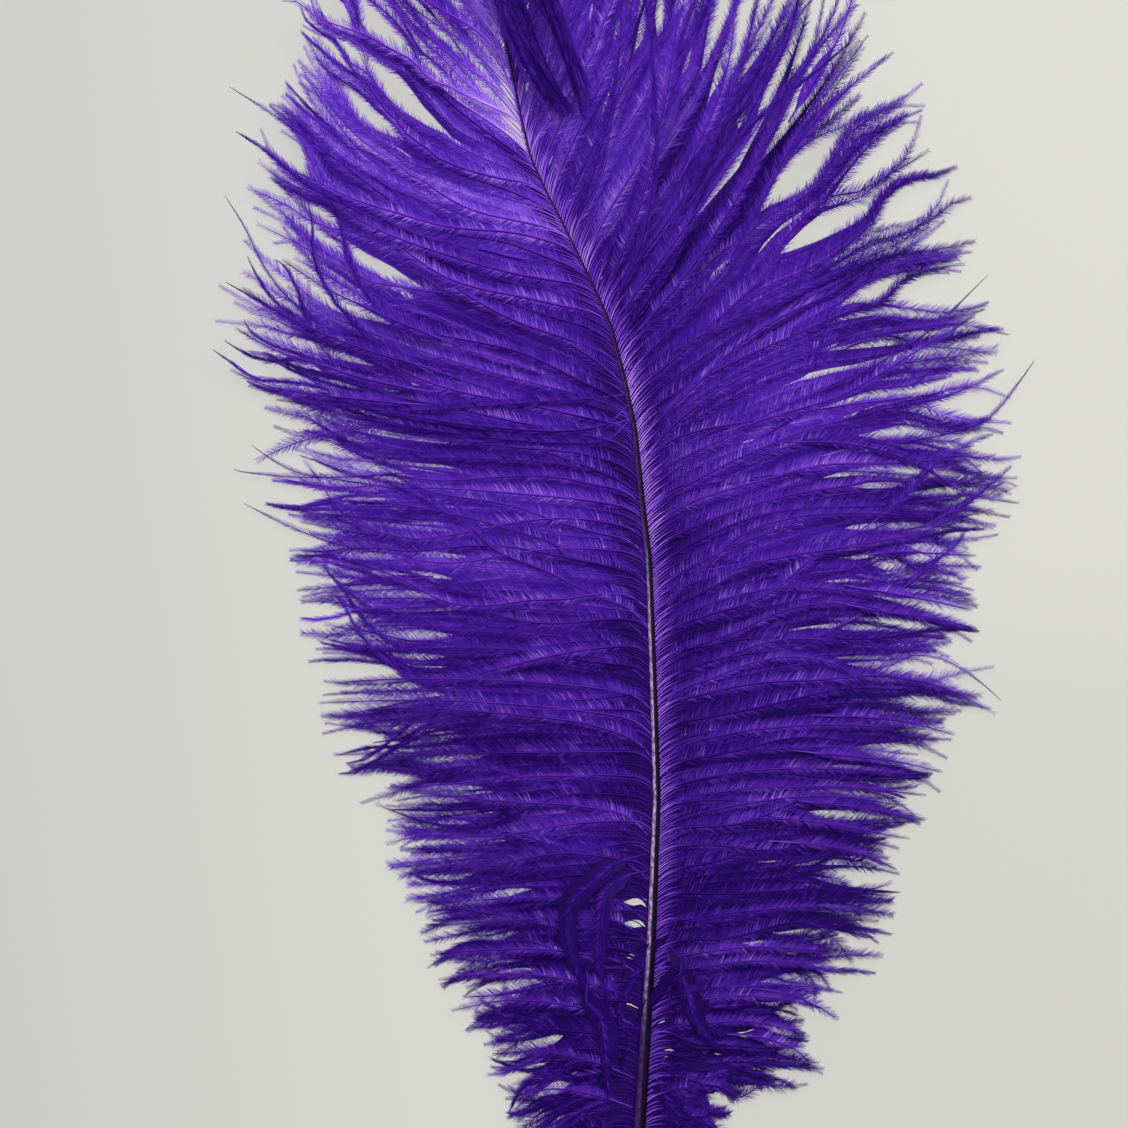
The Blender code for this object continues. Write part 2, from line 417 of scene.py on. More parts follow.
@dataclass(frozen=True)
class Paper:
    """The pale sheet that the plume lies on.

    The sheet glows: its emission is painted light that lifts the plume's shadows. The glow rises from
    glow_left to glow_right over the X of glow_span, and painted shade makes it low_shade less in the lower
    right, beyond shade_x and shade_y. Those places are in metres.
    """

    name: str = "pale_paper"
    colour: tuple = (0.13, 0.1315, 0.126)
    glow_left: tuple = (0.597, 0.603, 0.580)
    glow_right: tuple = (0.703, 0.703, 0.650)
    glow_strength: float = 0.80
    glow_span: tuple = (-0.17, -0.02)
    low_shade: float = 0.085
    shade_x: tuple = (-0.02, 0.06)
    shade_y: tuple = (-0.045, 0.005)
    grain_size: float = 0.5
    grain_detail: float = 4.0
    grain_strength: float = 0.12
    grain_height: float = 0.0002
    blotch_scale: float = 9.0
    blotch_detail: float = 2.0
    blotch_span: tuple = (0.3, 0.7)
    blotch_shade: float = 0.975
    roughness: float = 0.85

    def material(self) -> bpy.types.Material:
        """Build the material.

        Returns:
            The sheet's material.
        """
        bench = Bench(self.name)
        place = bench.node("ShaderNodeTexCoord", {}, {}).out("Object")
        grain = bench.noise(place, 1.0 / (self.grain_size * MM), self.grain_detail)
        blotch = bench.noise(place, self.blotch_scale, self.blotch_detail)
        shaded = tuple(channel * self.blotch_shade for channel in self.colour)
        x, y = bench.split(place)
        # Painted light: the emitted glow, brighter to the right and dimmed by painted shade in the lower
        # right.
        glow = bench.mix(x.between(*self.glow_span), (*self.glow_left, 1.0), (*self.glow_right, 1.0))
        low_right = x.between(*self.shade_x) * (1.0 - y.between(*self.shade_y))
        glow = bench.shade(glow, 1.0 - self.low_shade * low_right)
        bump = bench.node("ShaderNodeBump", {}, {
            "Strength": self.grain_strength, "Distance": self.grain_height, "Height": grain})
        return bench.finish({
            "Base Color": bench.ramp(blotch, tuple(zip(self.blotch_span, (shaded, self.colour)))),
            "Roughness": self.roughness,
            "Normal": bump.out("Normal"),
            "Emission Color": glow,
            "Emission Strength": self.glow_strength,
        })


# ---- laying many small shapes


def placed(name: str, data: bpy.types.ID) -> bpy.types.Object:
    """Make an object and link it to the scene.

    Args:
        name: Its name.
        data: Its mesh, light or camera.

    Returns:
        The object.
    """
    thing = bpy.data.objects.new(name, data)
    bpy.context.scene.collection.objects.link(thing)
    return thing


def mesh_of(shape: bmesh.types.BMesh, name: str) -> bpy.types.Mesh:
    """Make a mesh of a bmesh, and free the bmesh.

    Args:
        shape: The bmesh.
        name: The mesh's name.

    Returns:
        The mesh.
    """
    mesh = bpy.data.meshes.new(name)
    shape.to_mesh(mesh)
    shape.free()
    return mesh


class Pattern:
    """A small shape that is laid many times: its points and faces, read from a bmesh."""

    def __init__(self, shape: bmesh.types.BMesh) -> None:
        """Read a bmesh and free it.

        Args:
            shape: The shape; its coordinates are kept as plan numbers, not as places.
        """
        shape.verts.index_update()
        self.points = np.array([tuple(vertex.co) for vertex in shape.verts])
        self.faces = [np.array([vertex.index for vertex in face.verts]) for face in shape.faces]
        shape.free()

    def __len__(self) -> int:
        """The number of points."""
        return len(self.points)

    @classmethod
    def blade(cls, segments: int) -> "Pattern":
        """Shape a barbule.

        Args:
            segments: The number of segments along it.

        Returns:
            Its pattern: X is -1 or 1 across it and 0 at its point, and Y counts its segments.
        """
        shape = bmesh.new()
        bmesh.ops.create_grid(shape, x_segments=1, y_segments=segments, size=1.0)
        bmesh.ops.translate(shape, verts=shape.verts, vec=(0.0, 1.0, 0.0))
        bmesh.ops.scale(shape, verts=shape.verts, vec=(1.0, segments / 2, 1.0))
        ends = [vertex for vertex in shape.verts if vertex.co.y > segments - 0.01]
        bmesh.ops.pointmerge(shape, verts=ends, merge_co=(0.0, segments, 0.0))
        return cls(shape)

    @classmethod
    def reed(cls, stations: int) -> "Pattern":
        """Shape a ramus.

        Args:
            stations: The number of stations along it.

        Returns:
            Its pattern: X and Y go round its three sides, and Z counts its stations.
        """
        shape = bmesh.new()
        ring = bmesh.ops.create_circle(shape, segments=3, radius=1.0)["verts"]
        bmesh.ops.rotate(shape, verts=ring, matrix=Matrix.Rotation(math.radians(90.0), 3, "Z"))
        edges = list({edge for vertex in ring for edge in vertex.link_edges})
        for _ in range(stations - 1):
            grown = bmesh.ops.extrude_edge_only(shape, edges=edges)["geom"]
            risen = [part for part in grown if isinstance(part, bmesh.types.BMVert)]
            bmesh.ops.translate(shape, verts=risen, vec=(0.0, 0.0, 1.0))
            edges = [part for part in grown if isinstance(part, bmesh.types.BMEdge) and part.is_boundary]
        bmesh.ops.recalc_face_normals(shape, faces=shape.faces)
        return cls(shape)

    @classmethod
    def mat(cls, steps: int) -> "Pattern":
        """Shape a strip of matted down.

        Args:
            steps: The number of steps along it.

        Returns:
            Its pattern: X is -1, 0 or 1 across it, and Y counts its steps.
        """
        shape = bmesh.new()
        bmesh.ops.create_grid(shape, x_segments=2, y_segments=steps - 1, size=1.0)
        bmesh.ops.translate(shape, verts=shape.verts, vec=(0.0, 1.0, 0.0))
        bmesh.ops.scale(shape, verts=shape.verts, vec=(1.0, (steps - 1) / 2, 1.0))
        return cls(shape)


class Sheaf:
    """Gathers laid copies of patterns and binds them into one mesh object."""

    def __init__(self) -> None:
        """Start with nothing gathered."""
        self.places: list[Array] = []
        self.dyes: list[Array] = []
        self.faces: list[Array] = []
        self.count = 0

    def lay(self, pattern: Pattern, places: Array, dyes: Array) -> None:
        """Add copies of a pattern.

        Args:
            pattern: The shape whose faces are copied.
            places: The points' places in millimetres, (copies, points, 3).
            dyes: The points' dye coordinates, (copies, points, 2).
        """
        copies = len(places)
        starts = self.count + np.arange(copies)[:, None] * len(pattern)
        self.faces += [starts + face for face in pattern.faces]
        self.places.append(places.reshape(-1, 3))
        self.dyes.append(dyes.reshape(-1, 2))
        self.count += copies * len(pattern)

    def bind(self, name: str) -> bpy.types.Object:
        """Make the mesh object.

        Args:
            name: The piece's name.

        Returns:
            The object, with its place in its mesh.
        """
        places = np.concatenate(self.places) * MM
        places[:, 2] = np.maximum(places[:, 2], LOWEST * MM)
        dyes = np.concatenate(self.dyes)
        corners = np.concatenate([face.ravel() for face in self.faces])
        sizes = np.concatenate([np.full(len(face), face.shape[1]) for face in self.faces])
        mesh = bpy.data.meshes.new(name)
        mesh.vertices.add(len(places))
        mesh.vertices.foreach_set("co", places.astype(np.float32).ravel())
        mesh.loops.add(len(corners))
        mesh.loops.foreach_set("vertex_index", corners.astype(np.int32))
        mesh.polygons.add(len(sizes))
        mesh.polygons.foreach_set("loop_start", (np.cumsum(sizes) - sizes).astype(np.int32))
        mesh.update(calc_edges=True)
        for layer_name in (DYE_MAP, EXPORT_MAP):
            layer = mesh.uv_layers.new(name=layer_name, do_init=False)
            layer.uv.foreach_set("vector", dyes[corners].clip(0.0, 1.0).astype(np.float32).ravel())
        mesh.uv_layers.active = mesh.uv_layers[DYE_MAP]
        mesh.shade_smooth()
        return placed(name, mesh)


def lengths_of(places: Array) -> Array:
    """The lengths of courses, (courses, stations, 3)."""
    return np.linalg.norm(np.diff(places, axis=1), axis=2).sum(axis=1)


def unit(vectors: Array) -> Array:
    """The vectors at length one."""
    return vectors / np.maximum(np.linalg.norm(vectors, axis=-1, keepdims=True), 1e-12)


def smooth_step(values: Array, low: float, high: float) -> Array:
    """A smooth step from 0 at low to 1 at high."""
    share = np.clip((values - low) / (high - low), 0.0, 1.0)
    return share * share * (3.0 - 2.0 * share)


def spread(dice: np.random.Generator, size: float, shape: int | tuple) -> Array:
    """Normal variations of a size, held within two and a half of it."""
    return np.clip(dice.normal(0.0, 1.0, shape), -2.5, 2.5) * size


# ---- the shaft's course


@dataclass(frozen=True)
class ShaftCourse:
    """Where the shaft runs: x, y, height of its flat underside and half width, from quill to tip."""

    stations: tuple = (
        (0.2, -188, 0, 1.8), (1.9, -160, 0, 2), (3.4, -135.4, 0, 1.9), (6.2, -90.2, 0, 1.5),
        (7.5, -56.6, 0, 1.25), (6.7, -30, 0, 1.15), (5.6, 1, 0, 1.05), (3.9, 15.4, 0.2, 0.95),
        (2.2, 32.2, 0.9, 0.8), (-0.5, 45.1, 2, 0.7), (-3.8, 57.4, 3.4, 0.6), (-7.6, 66, 4.6, 0.45),
        (-14.9, 80.6, 7, 0.36), (-19.2, 88.6, 8.6, 0.34), (-22.8, 96.2, 10.4, 0.32),
        (-25.2, 106.1, 13, 0.3), (-26.7, 113.3, 15.2, 0.3), (-28.6, 122.2, 18.2, 0.3),
        (-31.4, 134.2, 22.4, 0.3), (-35.2, 147.4, 26.4, 0.3), (-40.2, 158.6, 28.6, 0.3),
    )
    height_to_half_width: float = 1.6

    def at(self, y: Array) -> tuple[Array, Array, Array]:
        """The shaft at places along it.

        Args:
            y: The places, in millimetres.

        Returns:
            The x, the underside's height and the half width there.
        """
        table = np.array(self.stations)
        return tuple(np.interp(y, table[:, 1], table[:, column]) for column in (0, 2, 3))

    def middle(self, y: Array) -> Array:
        """The shaft's middle points at places along it, (places, 3)."""
        x, underside, half_width = self.at(y)
        return np.stack([x, y, underside + half_width * self.height_to_half_width / 2], axis=-1)


# ---- barbs


@dataclass(frozen=True)
class Grade:
    """How a barb lies in the pile, and how finely it is fringed.

    gap is the barbules' spacing, and breadth and edge_breadth are how broad they are inside the vane and
    at its edge. crowding below 1 draws them towards the point, start is the share of the barb where they
    begin, web is the half width of the matted down under them, girth is the ramus's half width, and level
    is the range of the barb's place in the pile.
    """

    gap: float
    breadth: float
    edge_breadth: float
    crowding: float
    start: float
    web: float
    girth: float
    level: tuple


class Tier(Enum):
    """The barbs' tiers, from the fronds on top to the barbs that show only at the vane's edge."""

    TOP = Grade(0.28, 0.24, 0.17, 1.0, 0.04, 1.2, 0.42, (1.0, 2.0))
    MIDDLE = Grade(0.21, 0.24, 0.15, 0.72, 0.07, 1.5, 0.22, (0.1, 0.6))
    UNDER = Grade(0.18, 0.20, 0.15, 0.70, 0.10, 2.2, 0.15, (-1.0, 0.1))


def graded(tiers: Array, name: str) -> Array:
    """A property of the grades of barbs, by their tiers."""
    return np.array([getattr(tier.value, name) for tier in Tier])[tiers]


@dataclass
class Barbs:
    """A set of barbs as arrays, each row one barb; a column is one station from root to point.

    tiers is each barb's tier, fringe is the barbules' length as a share of the full length, closed is how
    far they lie against the ramus, breadth is how broad they are, and streaks is how strongly single
    barbules are painted bright as glints. webs is the half width of the matted down. Up to combs (in
    millimetres) from the shaft it is only narrows wide, web_ends is the share of the barb where it ends,
    and cores is its half width beyond that, in the barbs that lie close in a strand.
    """

    places: Array
    tiers: Array
    lengths: Array
    tones: Array
    rolls: Array
    fringe: Array
    closed: Array
    breadth: Array
    girth: Array
    streaks: Array
    webs: Array
    combs: Array
    narrows: Array
    web_ends: Array
    cores: Array

    def __len__(self) -> int:
        """The number of barbs."""
        return len(self.lengths)

    def part(self, chosen: Array) -> "Barbs":
        """The chosen barbs alone."""
        return Barbs(*(getattr(self, name)[chosen] for name in self.__dataclass_fields__))

    def frames(self) -> tuple[Array, Array, Array]:
        """The barbs' own directions at each station.

        Returns:
            The tangent, the side towards the plume's tip and the back direction, each (barbs, stations, 3).
        """
        tangent = unit(np.gradient(self.places, axis=1))
        back = unit(UP - tangent * (tangent @ UP)[..., None])
        side = np.cross(tangent, back)
        side = side * np.where(side[..., 1].mean(axis=1) < 0.0, -1.0, 1.0)[:, None, None]
        cosine, sine = np.cos(self.rolls)[..., None], np.sin(self.rolls)[..., None]
        return tangent, side * cosine - back * sine, back * cosine + side * sine


# The shares of a barb's length at which its stations lie, closer together near the shaft.
STATIONS = 25
STATION_POWER = 1.35
SHARES = np.linspace(0.0, 1.0, STATIONS) ** STATION_POWER
# How much of its tone a charred end loses, and the share at which an end that never chars would turn.
CHAR_DEPTH = 0.85
NEVER = 1.2


def cut(courses: Array, chosen: Array, trim: Array) -> Array:
    """Cut courses short.

    Args:
        courses: The courses, (courses, stations, dimensions).
        chosen: Which course each row of the result follows.
        trim: The share of its length that each row keeps.

    Returns:
        The cut courses, (chosen, stations, dimensions).
    """
    spot = (SHARES * trim[:, None]) ** (1.0 / STATION_POWER) * (STATIONS - 1)
    low = np.minimum(spot.astype(int), STATIONS - 2)
    part = (spot - low)[..., None]
    return courses[chosen[:, None], low] * (1.0 - part) + courses[chosen[:, None], low + 1] * part


@dataclass(frozen=True)
class Windows:
    """The lens-shaped gaps through which the sheet shows between the locks.

    Each row holds the middle's x and y, the half length, the half height, and the direction in degrees.
    In the still rows the down is missing, but the barbs run on across the gap. fringe is how much further
    the barbs are pushed for their barbules, in gaps from full_length on. The push reaches overrun times
    the half length, and fades over ease times itself and ease_more.
    """

    rows: tuple
    still: tuple = ()
    fringe: float = 0.55
    full_length: float = 6.0
    overrun: float = 1.25
    ease: float = 2.0
    ease_more: float = 2.5

    def part(self, plan: Array) -> Array:
        """Push barbs out of the gaps.

        Args:
            plan: The barbs' courses seen from above, (barbs, stations, 2).

        Returns:
            The courses, moved.
        """
        plan = plan.copy()
        for x, y, half_length, half_height, degrees in self.rows:
            turn = math.radians(degrees)
            along = np.array([math.cos(turn), math.sin(turn)])
            across = np.array([-along[1], along[0]])
            offset = plan - (x, y)
            u, v = offset @ along, offset @ across
            nearest = np.argmin(np.linalg.norm(offset, axis=2), axis=1)
            side = np.where(v[np.arange(len(v)), nearest] < 0.0, -1.0, 1.0)[:, None]
            push = half_height + self.fringe * min(1.0, half_length / self.full_length)
            lens = np.clip(1.0 - (u / (half_length * self.overrun)) ** 2, 0.0, 1.0)
            fade = np.clip(1.0 - side * v / (push * self.ease + self.ease_more), 0.0, 1.0)
            plan += (side * push * lens * fade)[..., None] * across
        return plan

    def covers(self, points: Array) -> Array:
        """Find the points that lie inside a gap.

        Args:
            points: The points.

        Returns:
            Whether each lies inside one.
        """
        inside = np.zeros(len(points), bool)
        for x, y, half_length, half_height, degrees in self.rows + self.still:
            turn = math.radians(degrees)
            offset = points[:, :2] - (x, y)
            u = offset @ (math.cos(turn), math.sin(turn))
            v = offset @ (-math.sin(turn), math.cos(turn))
            inside |= (u / half_length) ** 2 + (v / half_height) ** 2 < 1.0
        return inside


GAPS = Windows((
    (-53, 111.2, 11.5, 2.2, -51), (-62, 106.4, 8.9, 1.5, -59), (-55.2, 101, 5, 1.2, -72),
    (-50.2, 95.6, 3.6, 1.3, -40), (-57.5, 126.3, 9.4, 1.2, -47), (-69.7, 130.8, 6.2, 2.5, -45),
    (-64.8, 121, 4.1, 1.4, -45), (-45.6, 115.5, 4.1, 1, -60), (-22.8, 130.4, 4.1, 0.8, 85),
    (-17.4, 129.6, 4.1, 0.8, 85), (-70.3, 123.2, 4.5, 0.8, -43), (-61.4, 127.2, 3.2, 1.2, -45),
    (-57.6, 69.4, 10.4, 1.8, -32), (-54.2, 64.6, 3.3, 1.3, -20), (-71, 77.8, 6.2, 1.7, -65),
    (-70.8, 62.8, 5, 1, -40), (-80.4, 63.1, 2.9, 1.1, -45), (-82.8, 57.1, 3.2, 0.9, -25),
    (-69.6, 54.2, 5.3, 0.7, -35), (-86.4, 46.6, 5.1, 1.8, -20), (-62.4, 2.3, 8, 0.8, 6),
    (-60.8, 17.5, 2.4, 0.6, -5), (-72, -11.6, 6.8, 1.5, -8), (-64.8, -25.2, 11, 1.4, -4),
    (-52.3, -16.8, 3, 0.5, -25), (62.5, -0.2, 4.8, 1.9, -18), (59.3, 18.4, 4.8, 0.8, 5),
    (43.5, 93.5, 11.5, 3.2, 43), (46, 79.4, 12.6, 2.9, 33), (62.5, 97, 14, 4.2, 37),
    (76, 65.8, 13, 4.8, 20), (80, 80.5, 13, 3.4, 13), (67.9, 86.9, 8.3, 3.8, 30),
    (59.2, 65.8, 5.4, 1.7, 40), (59.2, 52.3, 10.8, 1.2, 10), (82.5, 38, 11.5, 3.8, 16),
    (89, 29, 7, 2.2, -5), (-79, 33.6, 8, 1.4, -6), (-74, 28.4, 7, 1.2, -8), (-81, 99, 9, 2.8, -45),
    (-72, 83, 5, 1.6, -20), (-55.5, -51.5, 7, 0.9, 0), (-80, 22, 9, 2.2, -5), (-82, 17, 9, 1.8, 0),
    (71.5, -25.2, 6.9, 1, -12), (70.8, -33.1, 5.1, 1.2, -5), (77, -10.1, 2, 0.8, -30),
    (69.8, -47.5, 3, 0.8, -10), (-12.3, 125, 1.9, 0.7, 75), (-8.5, 129.4, 2.4, 0.9, 85),
    (-2.3, 126.4, 3.6, 1.2, 88), (3.7, 125.5, 3.3, 0.8, 95), (8.2, 129.8, 6.7, 1.2, 97),
    (13.8, 118.2, 5, 1.2, 80), (27.1, 104.5, 3.2, 1.7, 70), (22, 70.5, 6.5, 1.5, 60),
    (12.5, 134.5, 3.5, 1.4, 88), (1.6, -81.7, 3.9, 0.7, 3), (1.8, -86.8, 3.7, 0.7, 3),
    (-10.8, -120.8, 4.5, 0.9, 10), (-16.3, -125.8, 2.4, 1, 15), (21, -117.1, 1.6, 0.7, -20),
    (21.8, -128.2, 3.2, 1.7, -15), (17.2, -92.2, 2.6, 0.7, -45),
), (
    (1.6, -81.7, 4.4, 1.2, 3), (1.8, -86.8, 4.2, 1.2, 3), (1.4, -90.9, 3, 0.5, -3),
    (-40.1, 118.8, 5.4, 1.2, -50), (-41.6, 125.3, 6.4, 1.2, -42), (-37.7, 126.5, 3.7, 1.2, -55),
    (-33.9, 126.2, 4.1, 1.2, -50), (-29.2, 115.5, 6.2, 1.2, -62), (-41.4, 101, 4.9, 0.9, -53),
    (-23.4, 114.7, 4.1, 1.2, 92),
))


@dataclass(frozen=True)
class Courses:
    """The courses of one vane's barbs, by the place of their root on the shaft.

    Each row holds root y, length, and the heading in degrees from square to the shaft (0) towards the
    tip (90): at the root, leave_length out from it, at middle_share of the length, and at the point.
    """

    rows: tuple
    leave_length: float = 7.5
    middle_share: float = 0.55

    def at(self, root_y: Array) -> list[Array]:
        """Length and the four headings of barbs with these roots."""
        table = np.array(self.rows)
        return [np.interp(root_y, table[:, 0], table[:, column]) for column in range(1, 6)]

    def headings(self, lengths: Array, turns: list[Array], shares: Array) -> Array:
        """Turn barbs along their length.

        Args:
            lengths: Their lengths.
            turns: Their four headings in degrees.
            shares: The shares of their lengths.

        Returns:
            Their headings in degrees, (barbs, shares).
        """
        leave, out, middle, point = (turn[:, None] for turn in turns)
        first = np.minimum(self.leave_length / lengths, self.middle_share - 0.05)[:, None]
        second = self.middle_share
        shares = np.broadcast_to(shares, (len(lengths), len(shares)))
        near = leave + (out - leave) * shares / first
        mid = out + (middle - out) * (shares - first) / (second - first)
        far = middle + (point - middle) * (shares - second) / (1.0 - second)
        return np.where(shares < first, near, np.where(shares < second, mid, far))


LEFT_COURSES = Courses((
    (-150, 18, 40, -10, -45, -50), (-140, 34, 45, -5, -38, -42), (-123.8, 42, 58, 0, -22, -28),
    (-104.6, 53, 60, 4, -14, -14), (-85.4, 61.5, 60, 5, -9, -10), (-66.2, 68, 60, 6, -8, -1),
    (-47, 79, 60, 6, -7, 2), (-27.8, 87, 60, 6, -4, 4), (-8.6, 92, 58, 6, 2, 8), (10.6, 94, 56, 10, 0, 10),
    (22.6, 99, 55, 15, 5, 30), (35.8, 102, 52, 19, 18, 40), (45.1, 102, 50, 21, 30, 50),
    (53.8, 100, 48, 18, 31, 49), (65, 93, 46, 8, 29, 48), (73, 86, 45, 4, 34, 50),
    (80.6, 80, 45, 6, 40, 52), (88.6, 77, 46, 14, 45, 54), (96.2, 74, 50, 28, 48, 54),
    (107, 74, 65, 50, 52, 56), (122, 62, 68, 54, 50, 50), (140, 50, 68, 52, 44, 40),
    (158, 38, 66, 50, 38, 28),
))
RIGHT_COURSES = Courses((
    (-150, 16, 40, -10, -50, -60), (-138, 30, 52, -5, -28, -40), (-119, 46, 58, 0, -10, -26),
    (-104.6, 55, 60, 6, -6, -16), (-90, 62, 60, 10, -4, -14), (-71, 69, 60, 12, -4, -12),
    (-51.8, 76, 60, 15, 0, -6), (-37.4, 80, 60, 19, 1, -12), (-23, 86, 60, 22, 3, -16),
    (-8.6, 92, 60, 25, 6, -14), (3.4, 93, 58, 28, 9, -12), (13, 95, 58, 31, 12, -8),
    (22.6, 99, 60, 35, 17, -2), (32.2, 103, 64, 37, 26, 10), (42.7, 101, 70, 40, 35, 34),
    (53.8, 98, 78, 43, 52, 58), (65, 94, 82, 50, 62, 68), (80.6, 87, 84, 58, 74, 80),
    (96.2, 84, 88, 66, 80, 84), (111, 80, 92, 72, 74, 74), (128, 64, 86, 80, 76, 72),
    (145, 46, 88, 80, 72, 62), (158, 36, 90, 80, 66, 50),
))


LEFT_TIPS = (
    (-83.3, 84.2), (-95.8, 69.1), (-94, 62), (-91, 56.5), (-88.1, 36.2), (-81.6, 30.5), (-78, 14),
    (-83, 6.5), (-81.4, -2.6), (-80.6, -8.6), (-79.4, -16.6), (-79, -20.2), (-74.2, -28.3), (-75.8, -32.2),
    (-71, -42.2), (-68.2, -45.1), (-59, -53.3), (-57.8, -64.3), (-54.2, -62.6), (-53.5, -80.4),
    (-50.4, -85.7), (-47.3, -91), (-46.3, -101), (-41.5, -107), (-37, -113.3), (-34.3, -119.3),
    (-32.2, -130.1), (-28.3, -135.4),
)
RIGHT_TIPS = (
    (58.3, 133), (61, 128.2), (67.9, 121.9), (76.3, 104.4), (79.2, 98.2), (82.1, 94.1), (84, 90),
    (82.6, 74.4), (86.9, 69.4), (91.4, 55.4), (90.5, 46.6), (88.6, 31), (84.5, 24.7), (92.4, 23.3),
    (96.7, 20.6), (98.2, 16.1), (93.4, 3.4), (88.6, 1.2), (85.9, -4.6), (85.7, -10.3), (84.7, -14.9),
    (81.4, -17.8), (80.6, -22.6), (90.5, -32.9), (81.4, -37.2), (79.9, -39.4), (78.7, -43.2), (74.2, -49.7),
    (73, -57.1), (73, -61.2), (67.9, -66.7), (63.4, -71.3), (65.8, -82.3), (64.8, -87.4), (52.1, -96.5),
    (50.2, -100.6), (46.1, -107), (45.4, -113.8), (37.9, -124.3), (28.3, -130.1), (23, -133.2),
)


@dataclass
class Vane:
    """One vane: where its barbs grow, how they hang together in strands and locks, and how they lie.

    The tones are added to the dye's: near beside the shaft, low and base below the middle, edge in the
    outer part and upper towards the tip. comb_shade_tone is the tone of the down beside the shaft, painted
    dark as shade, and comb_highlight what its rami gain as a painted highlight. depth_shade darkens the
    barbs that lie lower in the pile, as painted shade. A row of pale_combs holds the lowest and highest
    root y and how far out the barbs are almost bare. A gap is a distance between roots, a grip how far a
    barb is drawn to its strand or lock, and a shut how far its barbules close. stray is the spread of the
    four headings in degrees, and tone_spreads how far the tone varies by barb, by strand, and by barb again
    near the tip.
    trims and thin_from hold the top barbs' value and the others'. Spans are shares of a barb's length,
    but low_span, base_span and stray_span are millimetres of -Y, and those named out, bow_rise and
    level_rise millimetres from the shaft.
    """

    side: Side
    courses: Courses
    tips: tuple
    shaft: ShaftCourse
    seed: int
    tip_gap: float
    near_tone: float = -0.10
    low_tone: float = -0.06
    base_tone: float = -0.08
    edge_tone: float = 0.0
    upper_tone: float = 0.05
    # Painted shade of the down beside the shaft, and a painted highlight on its rami.
    comb_shade_tone: float = 0.14
    comb_highlight: float = 0.06
    pale_combs: tuple = ()
    pale_tone: float = 0.28
    pale_out: tuple = (6.0, 22.0)
    comb_reach: float = 8.0
    tight_share: float = 0.32
    barb_gap: float = 0.72
    root_from: float = -149.0
    root_to: float = 158.0
    top_gap: tuple = (4.4, 6.2)
    middle_gap: tuple = (1.9, 3.0)
    strand_gap: tuple = (1.6, 3.6)
    lock_gap: tuple = (4.0, 8.0)
    least_lock: float = 1.4
    longest_shift: float = 13.0
    trial_gap: float = 0.5
    tight_grip: tuple = (0.75, 0.98)
    open_grip: tuple = (0.05, 0.42)
    lock_grip: tuple = (0.08, 0.42)
    loose_grip: float = 0.15
    gather_from: tuple = (0.44, 0.66)
    gather_ease: float = 0.30
    lock_span: tuple = (0.45, 1.0)
    loose_share: float = 0.32
    top_loose_share: float = 0.5
    trims: tuple = (0.10, 0.16)
    trim_power: float = 1.6
    stray: tuple = (1.5, 2.0, 4.0, 7.0)
    wave_pace: tuple = (1.0, 2.4)
    wave_span: tuple = (0.05, 0.3)
    curl_span: tuple = (0.66, 1.0)
    tight_shut: tuple = (0.65, 0.95)
    open_shut: tuple = (0.0, 0.28)
    shut_from: tuple = (0.34, 0.56)
    shut_ease: float = 0.30
    shut_all_along: float = 0.7
    thin_from: tuple = (0.52, 0.42)
    thin_ease: float = 0.18
    root_girth: float = 0.15
    girth_out: tuple = (1.0, 9.0)
    taper: float = 0.70
    web_ends: tuple = (0.72, 0.93)
    core: float = 0.55
    arch: float = 6.0
    bow_share: float = 0.8
    bow_power: float = 0.72
    bow_rise: tuple = (-2.0, 16.0)
    slope_power: float = 1.2
    point_height: float = 0.9
    least_height: float = 0.45
    lift_starts: float = 40.0
    point_lift: float = 0.11
    pile: float = 0.45
    level_turn: float = 0.618
    level_rise: tuple = (2.0, 11.0)
    level_fall: float = 0.30
    tone: float = 0.535
    tone_spreads: tuple = (0.04, 0.07, 0.05)
    # Painted shade: barbs lower in the pile are darker.
    depth_shade: float = 0.03
    least_tone: float = 0.27
    closed_tone: float = -0.12
    low_span: tuple = (-10.0, 50.0)
    base_span: tuple = (50.0, 110.0)
    edge_span: tuple = (0.45, 0.75)
    near_out: tuple = (6.0, 18.0)
    glow_tone: float = 0.11
    glow_out: tuple = (8.0, 30.0)
    charred_share: float = 0.10
    charred_less: float = 0.06
    stray_span: tuple = (40.0, 90.0)
    charred_from: tuple = (0.93, 0.97)
    gaps: Windows = GAPS

    def __post_init__(self) -> None:
        """Set up the vane's own dice."""
        self.dice = np.random.default_rng(self.seed)

    def barbs(self) -> Barbs:
        """Grow the vane's barbs.

        Returns:
            All barbs of the vane, from base to tip.
        """
        dice = self.dice
        roots = self._roots()
        count = len(roots)
        tier = self._tiers(roots)
        top = tier == 0
        strand, strand_roots = self._strands(roots)
        strands = len(strand_roots)
        lock, lock_roots, shifts = self._locks(roots)
        loose = dice.random(count) < np.where(top, self.top_loose_share, self.loose_share)
        downy, strand_downy = (smooth_step(-some, *DOWNY) for some in (roots, strand_roots))
        upper = smooth_step(roots, *UPPER)
        tight_share = self.tight_share * (1.0 - 0.7 * upper - 0.5 * downy)
        tight = (dice.random(strands)[strand] < tight_share) & ~loose

        length = self.courses.at(roots)[0]
        trim = 1.0 - np.where(top, *self.trims) * dice.random(count) ** self.trim_power
        own = self._wandering(
            roots, 1.0 + 2.5 * downy + 2.0 * top + 1.2 * upper,
            4.0 + 4.0 * top + 9.0 * downy + 4.0 * upper, np.where(loose, 18.0, 9.0) + 22.0 * downy)
        plan = cut(own, np.arange(count), trim)
        strand_plan = self._wandering(
            strand_roots, 1.5 + 2.0 * strand_downy, 6.0 + 6.0 * strand_downy, 18.0 + 18.0 * strand_downy)
        still = np.ones(len(lock_roots))
        lock_plan = self._wandering(lock_roots, still, 3.0 * still, 5.0 * still)

